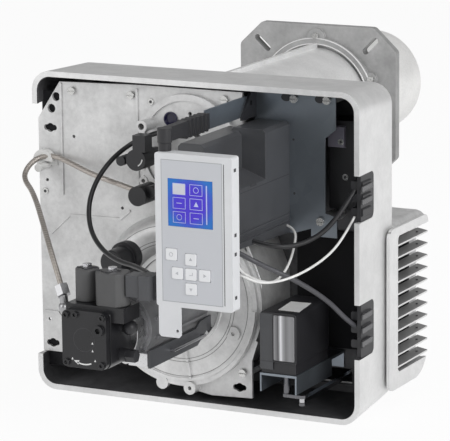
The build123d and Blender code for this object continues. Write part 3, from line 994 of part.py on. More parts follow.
def display_frame():
    x0, x1, y0, y1, z0, z1 = DISPLAY
    wall = DISPLAY_WALL
    tray = rounded(x0, x1, z0, z1, DISPLAY_R, y1, y0)
    tray -= rounded(x0 + wall, x1 - wall, z0 + wall, z1 - wall, TRAY_R, y1 + 1, y0 + wall)
    sx0, sx1, sz0, sz1 = SCREEN
    tray -= block(sx0, sx1, y0 - 1, y0 + wall + 1, sz0, sz1)
    for x, z in KEYS.values():
        tray -= block(x - KEY_W / 2 - KEY_GAP, x + KEY_W / 2 + KEY_GAP, y0 - 1, y0 + wall + 1,
                      z - KEY_H / 2 - KEY_GAP, z + KEY_H / 2 + KEY_GAP)
    tx0, tx1, tz0, tz1 = DISPLAY_TAB
    tab = block(tx0, tx1, y0, y0 + wall, tz0, tz1 + 1)
    tab = chamfer(tab.edges().filter_by(Axis.Y).group_by(Axis.Z)[0], TAB_BEVEL)
    hx, hz, hr = TAB_HOLE
    tray += tab - rod(hx, hz, hr, y0 + wall + 1, y0 - 1)
    barrel = post(HINGE_X, HINGE_Y, BARREL_R, z1 - wall, BARREL_TOP)
    tray += barrel & block(x0, x1, y0, y1, z1 - wall, BARREL_TOP + 1)
    return tray - post(HINGE_X, HINGE_Y, HINGE_PIN_R + RUN_GAP, HINGE_PIN_LOW - 1, BARREL_TOP + 1)


def display_screen():
    x0, x1, z0, z1 = SCREEN
    glass = block(x0, x1, SCREEN_FRONT, SCREEN_BACK, z0, z1)
    dx0, dx1, _, _, dz0, dz1 = DISPLAY
    wall = DISPLAY_WALL
    top = HINGE_PIN_LOW - BOARD_GAP
    back = SCREEN_BACK + BOARD_T
    return glass + rounded(dx0 + wall, dx1 - wall, dz0 + wall, top, TRAY_R, back, SCREEN_BACK)


def key(name):
    x, z = KEYS[name]
    return rounded(x - KEY_W / 2, x + KEY_W / 2, z - KEY_H / 2, z + KEY_H / 2, KEY_R, KEY_BACK, KEY_FRONT)


def support_arm():
    arm = extrude(on_side(SERVICE_X) * flat(SERVICE_EDGE), amount=SERVICE_T)
    side = SERVICE_X + SERVICE_T
    arm += stub(side, STAY_Z, STAY_R, STAY_OUT, STAY_Y1) + stub(side, STAY_Z, STAY_R, STAY_OUT, STAY_Y0)
    bar = Plane(origin=(side + STAY_OUT, STAY_Y0 - STAY_R, STAY_Z), x_dir=(1, 0, 0), z_dir=(0, 1, 0))
    return arm + extrude(bar * Circle(STAY_R), amount=STAY_L + 2 * STAY_R)


def terminal_module():
    body = block(*MODULE)
    x0, x1, y0, z0, z1 = MODULE_CAP
    return body + block(x0, x1, y0, MODULE[2] + 1, z0, z1)


def cable_glands():
    strips = []
    x0, x1, y0, y1, size = GLAND_GRIP
    for (low, high), grips in zip(NOTCHES, GLAND_GRIPS):
        room = block(GLAND_X0, GLAND_X1, GLAND_Y0, NOTCH_DEPTH + 1, low, high)
        strip = notch(low, high, GLAND_X0, GLAND_X1) & room
        for z in grips:
            grip = block(x0, x1, y0, y1, z - size / 2, z + size / 2)
            strip += chamfer(grip.edges().filter_by(Axis.Y), GLAND_BEVEL)
        strips.append(strip)
    return group(*strips)


def sensor_cable():
    return cord("sensor_cable", SENSOR_ROUTE, CABLE_D)


def black_cable():
    return cord("black_cable", BLACK_ROUTE, CABLE_D)


def grey_cable():
    return cord("grey_cable", GREY_ROUTE, CABLE_D)


def white_lead():
    return cord("white_lead", WHITE_ROUTE, LEAD_D)


def oil_hose():
    return cord("oil_hose", HOSE_ROUTE, HOSE_D)


def screw(x, z, seat):
    head = rod(x, z, SCREW_R, seat, seat - SCREW_H)
    cut = Pos(x, z) * Rectangle(2 * SCREW_R, SCREW_SLOT_W)
    head -= slab(cut, seat - SCREW_H + SCREW_SLOT_H, seat - SCREW_H)
    return head + rod(x, z, SCREW_SHANK_R, seat + SCREW_SHANK_L, seat)


def screws():
    plate = [screw(x, z, PLATE_FRONT) for x, z in PLATE_POSTS]
    bracket = [screw(x, z, BOX_BACK) for x, z in BRACKET_POSTS]
    return group(*plate, *bracket)


NODES = [
    casing, base_plate, volute_cover, scroll_housing, neck, head_cover, sight_glass, nozzle_rod,
    diffuser_disc, ignition_electrodes, boiler_flange, flange_gasket, blast_tube, intake_housing,
    intake_grille, intake_foam, damper_link, servo_shaft, air_damper, servo_body, servo_window,
    servo_bracket, motor_body, motor_shaft, fan_wheel, motor_capacitor, pump_adapter, pump_body,
    pump_cover, pump_plugs, coil_left, coil_right, armature_left, armature_right, coil_nuts,
    coil_plug, hose_fitting, hose_saddle, nozzle_elbow, flame_sensor, control_box,
    mounting_bracket, display_hinge, display_frame, display_screen, support_arm, terminal_module,
    cable_glands, sensor_cable, black_cable, grey_cable, white_lead, oil_hose, screws,
]


def save(name, shape):
    moved = Pos(-AXIS_X, -FACE_Y, -AXIS_Z) * shape
    export_step(moved, os.path.join("parts", name + ".step"))
    size = moved.bounding_box().size
    print(name, len(moved.solids()), [round(v, 1) for v in (size.X, size.Y, size.Z)])


def main():
    os.makedirs("parts", exist_ok=True)
    for make in NODES:
        save(make.__name__, make())
    for name in KEYS:
        save(name, key(name))


if __name__ == "__main__":
    main()
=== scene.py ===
import json
import math

import bmesh
import bpy
from mathutils import Matrix, Vector

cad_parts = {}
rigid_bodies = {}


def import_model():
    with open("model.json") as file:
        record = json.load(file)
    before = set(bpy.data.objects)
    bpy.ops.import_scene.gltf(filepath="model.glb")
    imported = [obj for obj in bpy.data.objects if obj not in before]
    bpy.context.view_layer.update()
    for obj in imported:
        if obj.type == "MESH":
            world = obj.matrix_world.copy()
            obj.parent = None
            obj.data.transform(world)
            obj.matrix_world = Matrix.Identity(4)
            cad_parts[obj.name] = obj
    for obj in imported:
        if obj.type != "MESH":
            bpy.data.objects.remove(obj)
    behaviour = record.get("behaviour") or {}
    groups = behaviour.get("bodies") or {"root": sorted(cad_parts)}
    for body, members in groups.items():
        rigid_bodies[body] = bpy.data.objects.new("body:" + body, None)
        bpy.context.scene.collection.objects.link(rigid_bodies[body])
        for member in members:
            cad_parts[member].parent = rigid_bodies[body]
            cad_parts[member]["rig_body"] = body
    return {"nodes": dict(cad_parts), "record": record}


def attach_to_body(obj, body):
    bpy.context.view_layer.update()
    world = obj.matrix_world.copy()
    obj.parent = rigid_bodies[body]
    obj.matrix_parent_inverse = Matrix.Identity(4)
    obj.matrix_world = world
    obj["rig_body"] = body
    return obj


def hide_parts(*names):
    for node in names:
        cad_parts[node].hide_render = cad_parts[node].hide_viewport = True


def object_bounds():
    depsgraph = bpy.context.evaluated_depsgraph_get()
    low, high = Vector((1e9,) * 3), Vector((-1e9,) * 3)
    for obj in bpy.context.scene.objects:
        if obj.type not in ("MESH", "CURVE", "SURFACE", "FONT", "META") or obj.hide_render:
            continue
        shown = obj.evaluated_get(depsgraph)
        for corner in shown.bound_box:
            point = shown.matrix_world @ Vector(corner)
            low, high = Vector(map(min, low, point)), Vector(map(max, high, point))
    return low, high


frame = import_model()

bl_info = {
    "name": "Boiler burner dressing",
    "version": (1, 0, 0),
    "blender": (4, 5, 0),
    "location": "View3D > Sidebar > Burner",
    "description": "Builds the looks of a forced-draught boiler burner round its packed solids",
    "category": "Add Mesh",
}

CAD_BOX = [list(corner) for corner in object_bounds()]
MM = 0.001
# The casing's lower left front corner, from which the drawing's sizes are read
CORNER = Vector((-205.0, -402.0, -317.0))
# Axis of the neck and the blast tube, then axis of the fan and the motor
AXIS_X, AXIS_Z = 205.0, 317.0
FAN_X, FAN_Z = 195.0, 130.0
# Depths of the fronts of the base plate, the pump's cover, the glass, the keys and the frame
PLATE_Y, PUMP_Y, GLASS_Y, KEY_Y, FRAME_Y = 14.0, -224.0, -209.4, -211.2, -210.0
# Depth of the mounting bracket's front, and where the control box's right side stands
BRACKET_Y, BOX_SIDE = 40.9, 330.4
# Points in the middle of the casing and of the air intake, towards which the faces that get painted shade
# look
CASING_CORE, INTAKE_CORE = Vector((220.0, 0.0, 200.0)), Vector((268.0, 150.0, 124.0))
# Camera fitted to the photograph: place on the drawing, angles in degrees, lens and shift
CAMERA_AT = (1855.34, -3134.11, 981.02)
CAMERA_YAW, CAMERA_PITCH, CAMERA_ROLL = 26.89, 11.97, -0.62
CAMERA_LENS, CAMERA_SENSOR, CAMERA_SHIFT = 240.32, 36.0, -0.0041
# Squared radii between which the fan cover's grooves lie
COVER_RINGS = tuple(((r - 0.45) ** 2, (r + 0.45) ** 2) for r in (56.0, 73.0, 77.0, 95.0))
# Louvre fins: how many, height of the lowest, step from one to the next
LOUVRES, LOUVRE_Z, LOUVRE_PITCH = 11, 50.5, 15.1
# Left edge and width of the servo's curved window, across which its painted reflection runs
WINDOW_LEFT, WINDOW_WIDTH = 347.0, 27.0
# Middle of the display's glass, and how fast its violet turns to teal
LCD_X, LCD_Z, LCD_FALL = 326.5, 301.0, 0.0009
# Edges of the display's key field, width of the line round it, and depth it is painted up to
PANEL, PANEL_LINE, PANEL_Y = (290.5, 366.0, 186.5, 349.0), 0.7, -208.0
# Turn of the hose's braid in radians for each millimetre
BRAID_TURNS = 2.2
# Angles in degrees above which an edge is rounded, drawn sharp, or kept when flats are merged
ROUND_ABOVE, SHARP_ABOVE, FLAT_BELOW = 38.0, 32.0, 1.0
# Half the width of the floor in metres, and how white the lens sees it
FLOOR_HALF, FLOOR_GLOW = 20.0, 0.94


def at(x, y, z):
    """A drawing point in millimetres, as a point of the frame in metres."""
    return (Vector((x, y, z)) + CORNER) * MM


# Shader helpers
class Wire:
    """A shader socket that takes part in Python arithmetic."""

    def __init__(self, surface, socket):
        self.surface = surface
        self.socket = socket

    def math(self, operation, first, second=0.0, clamp=False):
        settings = {"operation": operation, "use_clamp": clamp}
        return self.surface.node("ShaderNodeMath", settings, {0: first, 1: second})

    def __add__(self, other):
        return self.math("ADD", self, other)

    def __radd__(self, other):
        return self.math("ADD", other, self)

    def __sub__(self, other):
        return self.math("SUBTRACT", self, other)

    def __rsub__(self, other):
        return self.math("SUBTRACT", other, self)

    def __mul__(self, other):
        return self.math("MULTIPLY", self, other)

    def __rmul__(self, other):
        return self.math("MULTIPLY", other, self)

    def __gt__(self, other):
        return self.math("GREATER_THAN", self, other)

    def __lt__(self, other):
        return self.math("LESS_THAN", self, other)

    def sin(self):
        return self.math("SINE", self)

    def limited(self):
        """The same value, held between 0 and 1."""
        return self.math("ADD", self, clamp=True)


class Surface:
    """One procedural material, with its nodes added one by one."""

    def __init__(self, name, **constants):
        self.material = bpy.data.materials.new(name)
        self.material.use_nodes = True
        self.tree = self.material.node_tree
        self.shader = self.tree.nodes["Principled BSDF"]
        self.coords = self.node("ShaderNodeTexCoord", output="Object")
        for socket, value in constants.items():
            self.shader.inputs[socket].default_value = value

    def node(self, kind, settings=None, inputs=None, output=0):
        """Adds a node with its settings and inputs, and gives one of its outputs."""
        made = self.tree.nodes.new(kind)
        for key, value in (settings or {}).items():
            if key == "stops":
                self.set_stops(made.color_ramp.elements, value)
            else:
                setattr(made, key, value)
        for key, value in (inputs or {}).items():
            if isinstance(value, Wire):
                self.tree.links.new(value.socket, made.inputs[key])
            else:
                made.inputs[key].default_value = value
        return Wire(self, made.outputs[output])

    def set_stops(self, elements, stops):
        for i, (position, colour) in enumerate(stops):
            stop = elements[i] if i < len(elements) else elements.new(position)
            stop.position = position
            stop.color = colour

    def drawing(self):
        """Drawing sizes in millimetres along the three directions."""
        split = self.node("ShaderNodeSeparateXYZ", None, {"Vector": self.coords})
        axes = [Wire(self, socket) for socket in split.socket.node.outputs]
        return [axis * (1 / MM) - start for axis, start in zip(axes, CORNER)]

    def noise(self, scale, detail, rough):
        inputs = {"Vector": self.coords, "Scale": scale, "Detail": detail, "Roughness": rough}
        return self.node("ShaderNodeTexNoise", None, inputs)

    def ramp(self, factor, stops):
        return self.node("ShaderNodeValToRGB", {"stops": stops}, {"Fac": factor})

    def mix(self, factor, first, second):
        inputs = {0: factor, 6: first, 7: second}
        return self.node("ShaderNodeMix", {"data_type": "RGBA"}, inputs, output=2)

    def bump(self, height, strength, distance):
        inputs = {"Height": height, "Strength": strength, "Distance": distance}
        return self.node("ShaderNodeBump", None, inputs)

    def feed(self, **wires):
        """Links the wires to the shader's sockets, and gives the finished material."""
        for socket, wire in wires.items():
            self.tree.links.new(wire.socket, self.shader.inputs[socket.replace("_", " ")])
        return self.material


def shade(colour, factor):
    """A colour made lighter or darker, with its alpha."""
    return tuple(min(1.0, c * factor) for c in colour) + (1.0,)


def casting_noise(s, cloud_scale):
    """Cloudy tone, rubs and fine pits of a blasted casting."""
    cloud = s.noise(cloud_scale, 4.0, 0.65)
    rub = s.noise(150.0, 5.0, 0.7)
    pits = s.noise(1500.0, 2.0, 0.6)
    return cloud * 0.65 + rub * 0.35, rub, pits


def cast_metal(name, colour, rough=0.42, metal=0.55, grain=0.3, patch=0.14):
    """Blasted casting: soft cloudy tone, fine pits and a few darker rubs."""
    s = Surface(name, Metallic=metal)
    mottle, rub, pits = casting_noise(s, 24.0)
    tone = s.ramp(mottle, [(0.38, shade(colour, 1 - patch)), (0.62, shade(colour, 1 + patch))])
    return s.feed(
        Base_Color=s.mix((pits > 0.68) * 0.35, tone, shade(colour, 0.6)),
        Roughness=(rub * 0.24 + (rough - 0.12)).limited(),
        Normal=s.bump(pits * 0.6 + rub * 0.4, grain, 0.0004),
    )


def sheet_metal(name, colour, rough, spangle):
    """Zinc sheet: faint spangles and a cool cloudy sheen."""
    s = Surface(name, Metallic=0.85)
    inputs = {"Vector": s.coords, "Scale": 70.0}
    crystal = s.node("ShaderNodeTexVoronoi", {"feature": "F1"}, inputs, output="Color")
    grey = s.node("ShaderNodeRGBToBW", None, {"Color": crystal})
    cloud = s.noise(9.0, 2.0, 0.5)
    stops = [(0.25, shade(colour, 1 - spangle * 2)), (0.75, shade(colour, 1 + spangle * 2))]
    return s.feed(
        Base_Color=s.ramp(cloud * 0.92 + grey * 0.08, stops),
        Roughness=(cloud * 0.25 + (rough - 0.12)).limited(),
        Normal=s.bump(grey, 0.05, 0.0002),
    )


def plain_metal(name, colour, rough, metal=1.0):
    """Turned or plated metal with fine tool marks."""
    s = Surface(name, Metallic=metal)
    marks = s.noise(420.0, 3.0, 0.6)
    smear = s.noise(30.0, 3.0, 0.5)
    stops = [(0.3, shade(colour, 0.86)), (0.7, shade(colour, 1.1))]
    return s.feed(
        Base_Color=s.ramp(smear * 0.5 + marks * 0.5, stops),
        Roughness=(marks * 0.2 + (rough - 0.1)).limited(),
        Normal=s.bump(marks, 0.12, 0.0002),
    )


def plastic(name, colour, rough, grain=0.2, scale=1800.0, vary=0.12):
    """Moulded plastic with an even spark-eroded grain and light handling wear."""
    s = Surface(name, Metallic=0.0)
    grains = s.noise(scale, 2.0, 0.5)
    wear = s.noise(24.0, 4.0, 0.6)
    return s.feed(
        Base_Color=s.ramp(wear, [(0.3, shade(colour, 1 - vary)), (0.7, shade(colour, 1 + vary))]),
        Roughness=(wear * 0.2 + (rough - 0.1)).limited(),
        Normal=s.bump(grains, grain, 0.0003),
    )


def cover_casting(name):
    """Blasted casting of the fan cover, with fine dark grooves round the motor."""
    s = Surface(name, Metallic=0.5)
    x, _, z = s.drawing()
    across, upright = x - FAN_X, z - FAN_Z
    far = across * across + upright * upright
    grooves = [(far > low) * (far < high) for low, high in COVER_RINGS]
    groove = sum(grooves[1:], grooves[0])
    mottle, rub, pits = casting_noise(s, 26.0)
    metal = s.ramp(mottle, [(0.38, (0.62, 0.62, 0.62, 1)), (0.62, (0.80, 0.80, 0.80, 1))])
    return s.feed(
        Base_Color=s.mix(groove.limited() * 0.75, metal, (0.12, 0.12, 0.12, 1)),
        Roughness=(rub * 0.24 + 0.32).limited(),
        Normal=s.bump(pits * 0.6 + rub * 0.4 - groove * 0.8, 0.3, 0.0005),
    )


def window_chrome(name):
    """Curved plated cover with a painted reflection: dark edge, bright band and a grey fall to the right.
    """
    s = Surface(name, Metallic=0.15)
    waver = (s.noise(30.0, 2.0, 0.5) - 0.5) * 0.05
    across = (s.drawing()[0] - WINDOW_LEFT) * (1 / WINDOW_WIDTH) + waver
    # Greys of the painted reflection, from the window's left edge to its right
    greys = (
        (0.0, 0.34), (0.24, 0.10), (0.36, 0.90), (0.46, 0.40), (0.60, 0.20), (0.78, 0.30), (1.0, 0.24),
    )
    return s.feed(
        Base_Color=s.ramp(across, [(place, (grey, grey, grey * 1.04, 1)) for place, grey in greys]),
        Roughness=(s.noise(200.0, 2.0, 0.5) * 0.1 + 0.2).limited(),
    )


def lit_panel(name):
    """Backlit glass: violet in the middle, turning to teal at its edges."""
    s = Surface(name, Roughness=0.25)
    x, _, z = s.drawing()
    across = (x - LCD_X) * (x - LCD_X) * LCD_FALL
    upright = (z - LCD_Z) * (z - LCD_Z) * LCD_FALL
    far = (across + upright + s.noise(40.0, 2.0, 0.5) * 0.1).limited()
    return s.feed(
        Base_Color=s.ramp(far, [(0.35, (0.060, 0.028, 0.62, 1)), (0.95, (0.010, 0.16, 0.56, 1))]),
        Normal=s.bump(s.noise(900.0, 2.0, 0.5), 0.02, 0.0001),
    )


def within(x, z, edges, margin=0.0):
    """Mask of an upright rectangle, widened by a margin."""
    x0, x1, z0, z1 = edges
    return (x > x0 - margin) * (x < x1 + margin) * (z > z0 - margin) * (z < z1 + margin)


def membrane_paint(name):
    """White frame with a pale grey key field inside a fine darker line."""
    s = Surface(name)
    x, y, z = s.drawing()
    front = y < PANEL_Y
    wear = s.noise(20.0, 4.0, 0.6)
    frame_tone = s.ramp(wear, [(0.3, (0.66, 0.67, 0.69, 1)), (0.7, (0.72, 0.73, 0.75, 1))])
    lined = s.mix(within(x, z, PANEL, PANEL_LINE) * front, frame_tone, (0.33, 0.34, 0.36, 1))
    return s.feed(
        Base_Color=s.mix(within(x, z, PANEL) * front, lined, (0.56, 0.575, 0.61, 1)),
        Roughness=(wear * 0.15 + 0.34).limited(),
        Normal=s.bump(s.noise(1400.0, 2.0, 0.5), 0.08, 0.0002),
    )


def braid(name):
    """Woven steel jacket: two sets of slanted wires over each other."""
    s = Surface(name, Metallic=0.75)
    x, y, z = s.drawing()
    one = ((x + z + y * 0.5) * BRAID_TURNS).sin()
    two = ((x - z + y * 0.5) * BRAID_TURNS).sin()
    weave = one * two * 0.5 + 0.5
    smear = s.noise(60.0, 3.0, 0.6)
    stops = [(0.2, (0.16, 0.13, 0.11, 1)), (0.75, (0.66, 0.62, 0.58, 1))]
    return s.feed(
        Base_Color=s.ramp(weave * 0.7 + smear * 0.3, stops),
        Roughness=(smear * 0.2 + 0.28).limited(),
        Normal=s.bump(weave, 0.5, 0.0004),
    )


MATERIALS = {}


def material(name):
    """The named finish, made once."""
    if name not in MATERIALS:
        MATERIALS[name] = FINISHES[name](name)
    return MATERIALS[name]


FINISHES = {
    "cast_light": lambda n: cast_metal(n, (0.66, 0.66, 0.66)),
    "cast_casing": lambda n: cast_metal(n, (0.77, 0.77, 0.77), patch=0.07),
    "cast_flange": lambda n: cast_metal(n, (0.42, 0.42, 0.42), rough=0.52, grain=0.5, patch=0.16),
    # Near-black casting: painted shade for the insides of the casing and the intake, and for the louvres'
    # undersides
    "cast_shade": lambda n: cast_metal(n, (0.11, 0.11, 0.115), rough=0.55, grain=0.3, patch=0.3),
    # Near-black for seams and small dark parts, and for the painted shade in the bracket's keyholes
    "seam_dark": lambda n: plastic(n, (0.05, 0.05, 0.055), 0.6, 0.2),
    "mark_white": lambda n: plastic(n, (0.75, 0.75, 0.75), 0.5, 0.05),
    "tile_line": lambda n: plastic(n, (0.52, 0.55, 0.85), 0.4, 0.0),
    "tile_fill": lambda n: plastic(n, (0.62, 0.63, 0.70), 0.4, 0.0),
    "board_green": lambda n: plastic(n, (0.015, 0.07, 0.035), 0.4, 0.1),
    "key_mark": lambda n: plastic(n, (0.50, 0.51, 0.54), 0.5, 0.0),
    "violet_cap": lambda n: plastic(n, (0.22, 0.21, 0.26), 0.4, 0.15),
    "cover_casting": cover_casting,
    "window_chrome": window_chrome,
    # Bright metal of the neck, also used as the painted highlight on the collar's rims
    "neck_bright": lambda n: plain_metal(n, (0.86, 0.86, 0.86), 0.34, 0.4),
    # Darker grey for the louvres' tops: painted shade on the same casting
    "louvre_top": lambda n: cast_metal(n, (0.38, 0.38, 0.38), rough=0.5, grain=0.4, patch=0.16),
    "motor_grey": lambda n: cast_metal(n, (0.25, 0.25, 0.26), rough=0.4, metal=0.6, grain=0.2),
    "steel_dark": lambda n: plain_metal(n, (0.16, 0.16, 0.17), 0.3),
    "gland_gloss": lambda n: plastic(n, (0.075, 0.075, 0.08), 0.22, 0.1),
    "label_white": lambda n: plastic(n, (0.92, 0.92, 0.91), 0.5, 0.05, 900.0, 0.05),
    "turned_light": lambda n: plain_metal(n, (0.70, 0.70, 0.71), 0.3),
    "tube_steel": lambda n: plain_metal(n, (0.90, 0.895, 0.885), 0.36, 0.25),
    "zinc": lambda n: sheet_metal(n, (0.26, 0.29, 0.325), 0.32, 0.16),
    "chrome_bright": lambda n: plain_metal(n, (0.55, 0.55, 0.57), 0.2),
    "chrome_soft": lambda n: plain_metal(n, (0.40, 0.40, 0.41), 0.34),
    "screw_zinc": lambda n: plain_metal(n, (0.62, 0.62, 0.61), 0.28),
    "black_moulded": lambda n: plastic(n, (0.022, 0.022, 0.025), 0.42),
    "grey_moulded": lambda n: plastic(n, (0.066, 0.068, 0.074), 0.34),
    "coil_moulded": lambda n: plastic(n, (0.085, 0.085, 0.087), 0.5),
    "pump_lacquer": lambda n: plastic(n, (0.012, 0.012, 0.014), 0.3, 0.35, 700.0),
    "white_moulded": lambda n: plastic(n, (0.80, 0.80, 0.79), 0.45, 0.1),
    "display_paint": membrane_paint,
    "key_cap": lambda n: plastic(n, (0.80, 0.81, 0.83), 0.4, 0.08, 1400.0, 0.02),
    "lit_blue": lit_panel,
    "sight_dark": lambda n: plastic(n, (0.012, 0.010, 0.045), 0.1, 0.0, 500.0),
    # Black foam, also the dark sheets of painted shade behind the plate's notches
    "foam_black": lambda n: plastic(n, (0.010, 0.010, 0.012), 0.9, 0.9, 260.0, 0.3),
    "fibre_gasket": lambda n: plastic(n, (0.34, 0.34, 0.33), 0.85, 0.6, 600.0),
    "jacket_black": lambda n: plastic(n, (0.016, 0.016, 0.018), 0.32, 0.1),
    "jacket_grey": lambda n: plastic(n, (0.07, 0.07, 0.078), 0.4, 0.15),
    "lead_white": lambda n: plastic(n, (0.80, 0.80, 0.79), 0.35, 0.05),
    "hose_braid": braid,
}


# Mesh helpers
def slot_of(node):
    """The material slot that the record gives a CAD node."""
    for entry in frame["record"]["subparts"]:
        if entry["node"] == node:
            return entry["material_slot"]
    raise RuntimeError("no slot for " + node)


def linked(name, data, finish=None):
    """A new object of the scene, in one finish where that is given."""
    piece = bpy.data.objects.new(name, data)
    bpy.context.scene.collection.objects.link(piece)
    if finish:
        data.materials.append(material(finish))
    return piece


def attach(piece, node):
    """Lets a piece ride on the body of a CAD node, and looks up the node's slot."""
    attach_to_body(piece, frame["nodes"][node]["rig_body"])
    slot_of(node)


def settle(piece):
    """Turns a piece's modifiers into plain mesh."""
    graph = bpy.context.evaluated_depsgraph_get()
    mesh = bpy.data.meshes.new_from_object(piece.evaluated_get(graph))
    piece.modifiers.clear()
    piece.data = mesh


def soften(piece, edge):
    """Rounds the edges and leaves the big faces flat to the light."""
    for face in piece.data.polygons:
        face.use_smooth = True
    piece.data.set_sharp_from_angle(angle=math.radians(SHARP_ABOVE))
    if edge:
        bevel = piece.modifiers.new("edge", "BEVEL")
        bevel.width = edge * MM
        bevel.segments = 2
        bevel.limit_method = "ANGLE"
        bevel.angle_limit = math.radians(ROUND_ABOVE)
        bevel.use_clamp_overlap = True
    normals = piece.modifiers.new("normals", "WEIGHTED_NORMAL")
    normals.keep_sharp = True
    bpy.context.view_layer.update()
    settle(piece)


def dress(node, finish, edge):
    """A softened copy of a CAD node: merged, flats dissolved, edges rounded, normals split by angle."""
    bm = bmesh.new()
    bm.from_mesh(frame["nodes"][node].data)
    bmesh.ops.remove_doubles(bm, verts=bm.verts, dist=1e-6)
    bmesh.ops.dissolve_limit(
        bm, angle_limit=math.radians(FLAT_BELOW), verts=bm.verts, edges=bm.edges)
    mesh = bpy.data.meshes.new(node + "_skin")
    bm.to_mesh(mesh)
    bm.free()
    piece = linked(node + "_skin", mesh, finish)
    soften(piece, edge)
    attach(piece, node)
    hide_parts(node)


def paint(node, finish, test):
    """Gives the faces that pass a test, on centre and normal in drawing sizes, a second finish."""
    mesh = bpy.data.objects[node + "_skin"].data
    mesh.materials.append(material(finish))
    index = len(mesh.materials) - 1
    for face in mesh.polygons:
        if test(face.center / MM - CORNER, face.normal):
            face.material_index = index


# How a plane's two sizes and the level along the third axis become a point
PLANES = {
    "XZ": lambda first, second, level: (first, level, second),
    "YZ": lambda first, second, level: (level, first, second),
    "XY": lambda first, second, level: (first, second, level),
}


def prism(name, node, finish, plane, low, high, points, edge=0.15):
    """A flat piece: an outline drawn in one plane, made thick along the third axis."""
    bm = bmesh.new()
    rings = []
    for level in (low, high):
        spots = [PLANES[plane](first, second, level) for first, second in points]
        rings.append([bm.verts.new(at(*spot)) for spot in spots])
    count = len(points)
    for i in range(count):
        j = (i + 1) % count
        bm.faces.new((rings[0][i], rings[0][j], rings[1][j], rings[1][i]))
    bm.faces.new(rings[0])
    bm.faces.new(rings[1])
    bmesh.ops.recalc_face_normals(bm, faces=bm.faces)
    mesh = bpy.data.meshes.new(name)
    bm.to_mesh(mesh)
    bm.free()
    piece = linked(name, mesh, finish)
    soften(piece, edge)
    attach(piece, node)


def mark(name, node, finish, y, thick, points):
    """A thin flat mark with crisp edges on a face that looks to the front."""
    prism(name, node, finish, "XZ", y, y - thick, points, 0.0)


def polar(x, z, r, degrees):
    """A point at an angle on a circle."""
    angle = math.radians(degrees)
    return (x + r * math.cos(angle), z + r * math.sin(angle))


def oblong(x0, x1, z0, z1, r, steps=4):
    """Outline of a rectangle with rounded corners."""
    middles = ((x1 - r, z1 - r), (x0 + r, z1 - r), (x0 + r, z0 + r), (x1 - r, z0 + r))
    return [polar(x, z, r, 90 * (corner + i / steps))
            for corner, (x, z) in enumerate(middles) for i in range(steps + 1)]


def disc(x, z, r, steps=28):
    """Outline of a round plate."""
    return [polar(x, z, r, 360 * i / steps) for i in range(steps)]


def arc_band(x, z, r, width, start, end, steps=14):
    """Outline of a curved band."""
    angles = [start + (end - start) * i / steps for i in range(steps + 1)]
    outer = [polar(x, z, r + width / 2, a) for a in angles]
    inner = [polar(x, z, r - width / 2, a) for a in reversed(angles)]
    return outer + inner


def repeat_group(kind):
    """Node group that sets one small part on every point of a mesh, realised and in one finish."""
    group = bpy.data.node_groups.new("repeat_" + kind, "GeometryNodeTree")
    face = group.interface
    face.new_socket("Points", in_out="INPUT", socket_type="NodeSocketGeometry")
    face.new_socket("Size", in_out="INPUT", socket_type="NodeSocketVector")
    face.new_socket("Turn", in_out="INPUT", socket_type="NodeSocketRotation")
    face.new_socket("Finish", in_out="INPUT", socket_type="NodeSocketMaterial")
    face.new_socket("Mesh", in_out="OUTPUT", socket_type="NodeSocketGeometry")
    make, join = group.nodes.new, group.links.new
    entry, leave = make("NodeGroupInput"), make("NodeGroupOutput")
    if kind == "block":
        part = make("GeometryNodeMeshCube")
    else:
        part = make("GeometryNodeMeshCylinder")
        part.inputs["Vertices"].default_value = {"round": 20, "hex": 6}[kind]
        part.inputs["Radius"].default_value = 0.5
        part.inputs["Depth"].default_value = 1.0
    spread = make("GeometryNodeInstanceOnPoints")
    real = make("GeometryNodeRealizeInstances")
    finish = make("GeometryNodeSetMaterial")
    join(entry.outputs["Points"], spread.inputs["Points"])
    join(part.outputs["Mesh"], spread.inputs["Instance"])
    join(entry.outputs["Turn"], spread.inputs["Rotation"])
    join(entry.outputs["Size"], spread.inputs["Scale"])
    join(spread.outputs["Instances"], real.inputs["Geometry"])
    join(real.outputs["Geometry"], finish.inputs["Geometry"])
    join(entry.outputs["Finish"], finish.inputs["Material"])
    join(finish.outputs["Geometry"], leave.inputs["Mesh"])
    return group


def repeat(name, node, finish, kind, size, spots, turn=(0, 0, 0), edge=0.15):
    """Sets the same small part on each spot of a CAD node, through Geometry Nodes."""
    group = bpy.data.node_groups.get("repeat_" + kind) or repeat_group(kind)
    mesh = bpy.data.meshes.new(name)
    mesh.from_pydata([at(*spot) for spot in spots], [], [])
    piece = linked(name, mesh)
    nodes = piece.modifiers.new("repeat", "NODES")
    nodes.node_group = group
    values = {
        "Size": [v * MM for v in size],
        "Turn": [math.radians(v) for v in turn],
        "Finish": material(finish),
    }
    for item in group.interface.items_tree:
        if item.in_out == "INPUT" and item.name in values:
            nodes[item.identifier] = values[item.name]
    bpy.context.view_layer.update()
    settle(piece)
    soften(piece, edge)
    attach(piece, node)


# Settings
class BurnerSettings(bpy.types.PropertyGroup):
    """Strength of the lights and whiteness of the floor"""

    key_light: bpy.props.FloatProperty(
        name="Key light", description="Power of the main softbox", default=74.0)
    fill_light: bpy.props.FloatProperty(
        name="Fill light", description="Power of the left softbox", default=34.0)
    top_light: bpy.props.FloatProperty(
        name="Top light", description="Power of the top softbox", default=15.0)
    sky: bpy.props.FloatProperty(name="Sky", description="Strength of the even light", default=0.34)
    floor_white: bpy.props.FloatProperty(name="Floor", description="Whiteness of the floor", default=0.92)


class DressOperator:
    """Common ground of the operators that dress CAD nodes."""

    rows = ()

    def execute(self, context):
        for node, finish, edge in self.rows:
            dress(node, finish, edge)
        return {"FINISHED"}


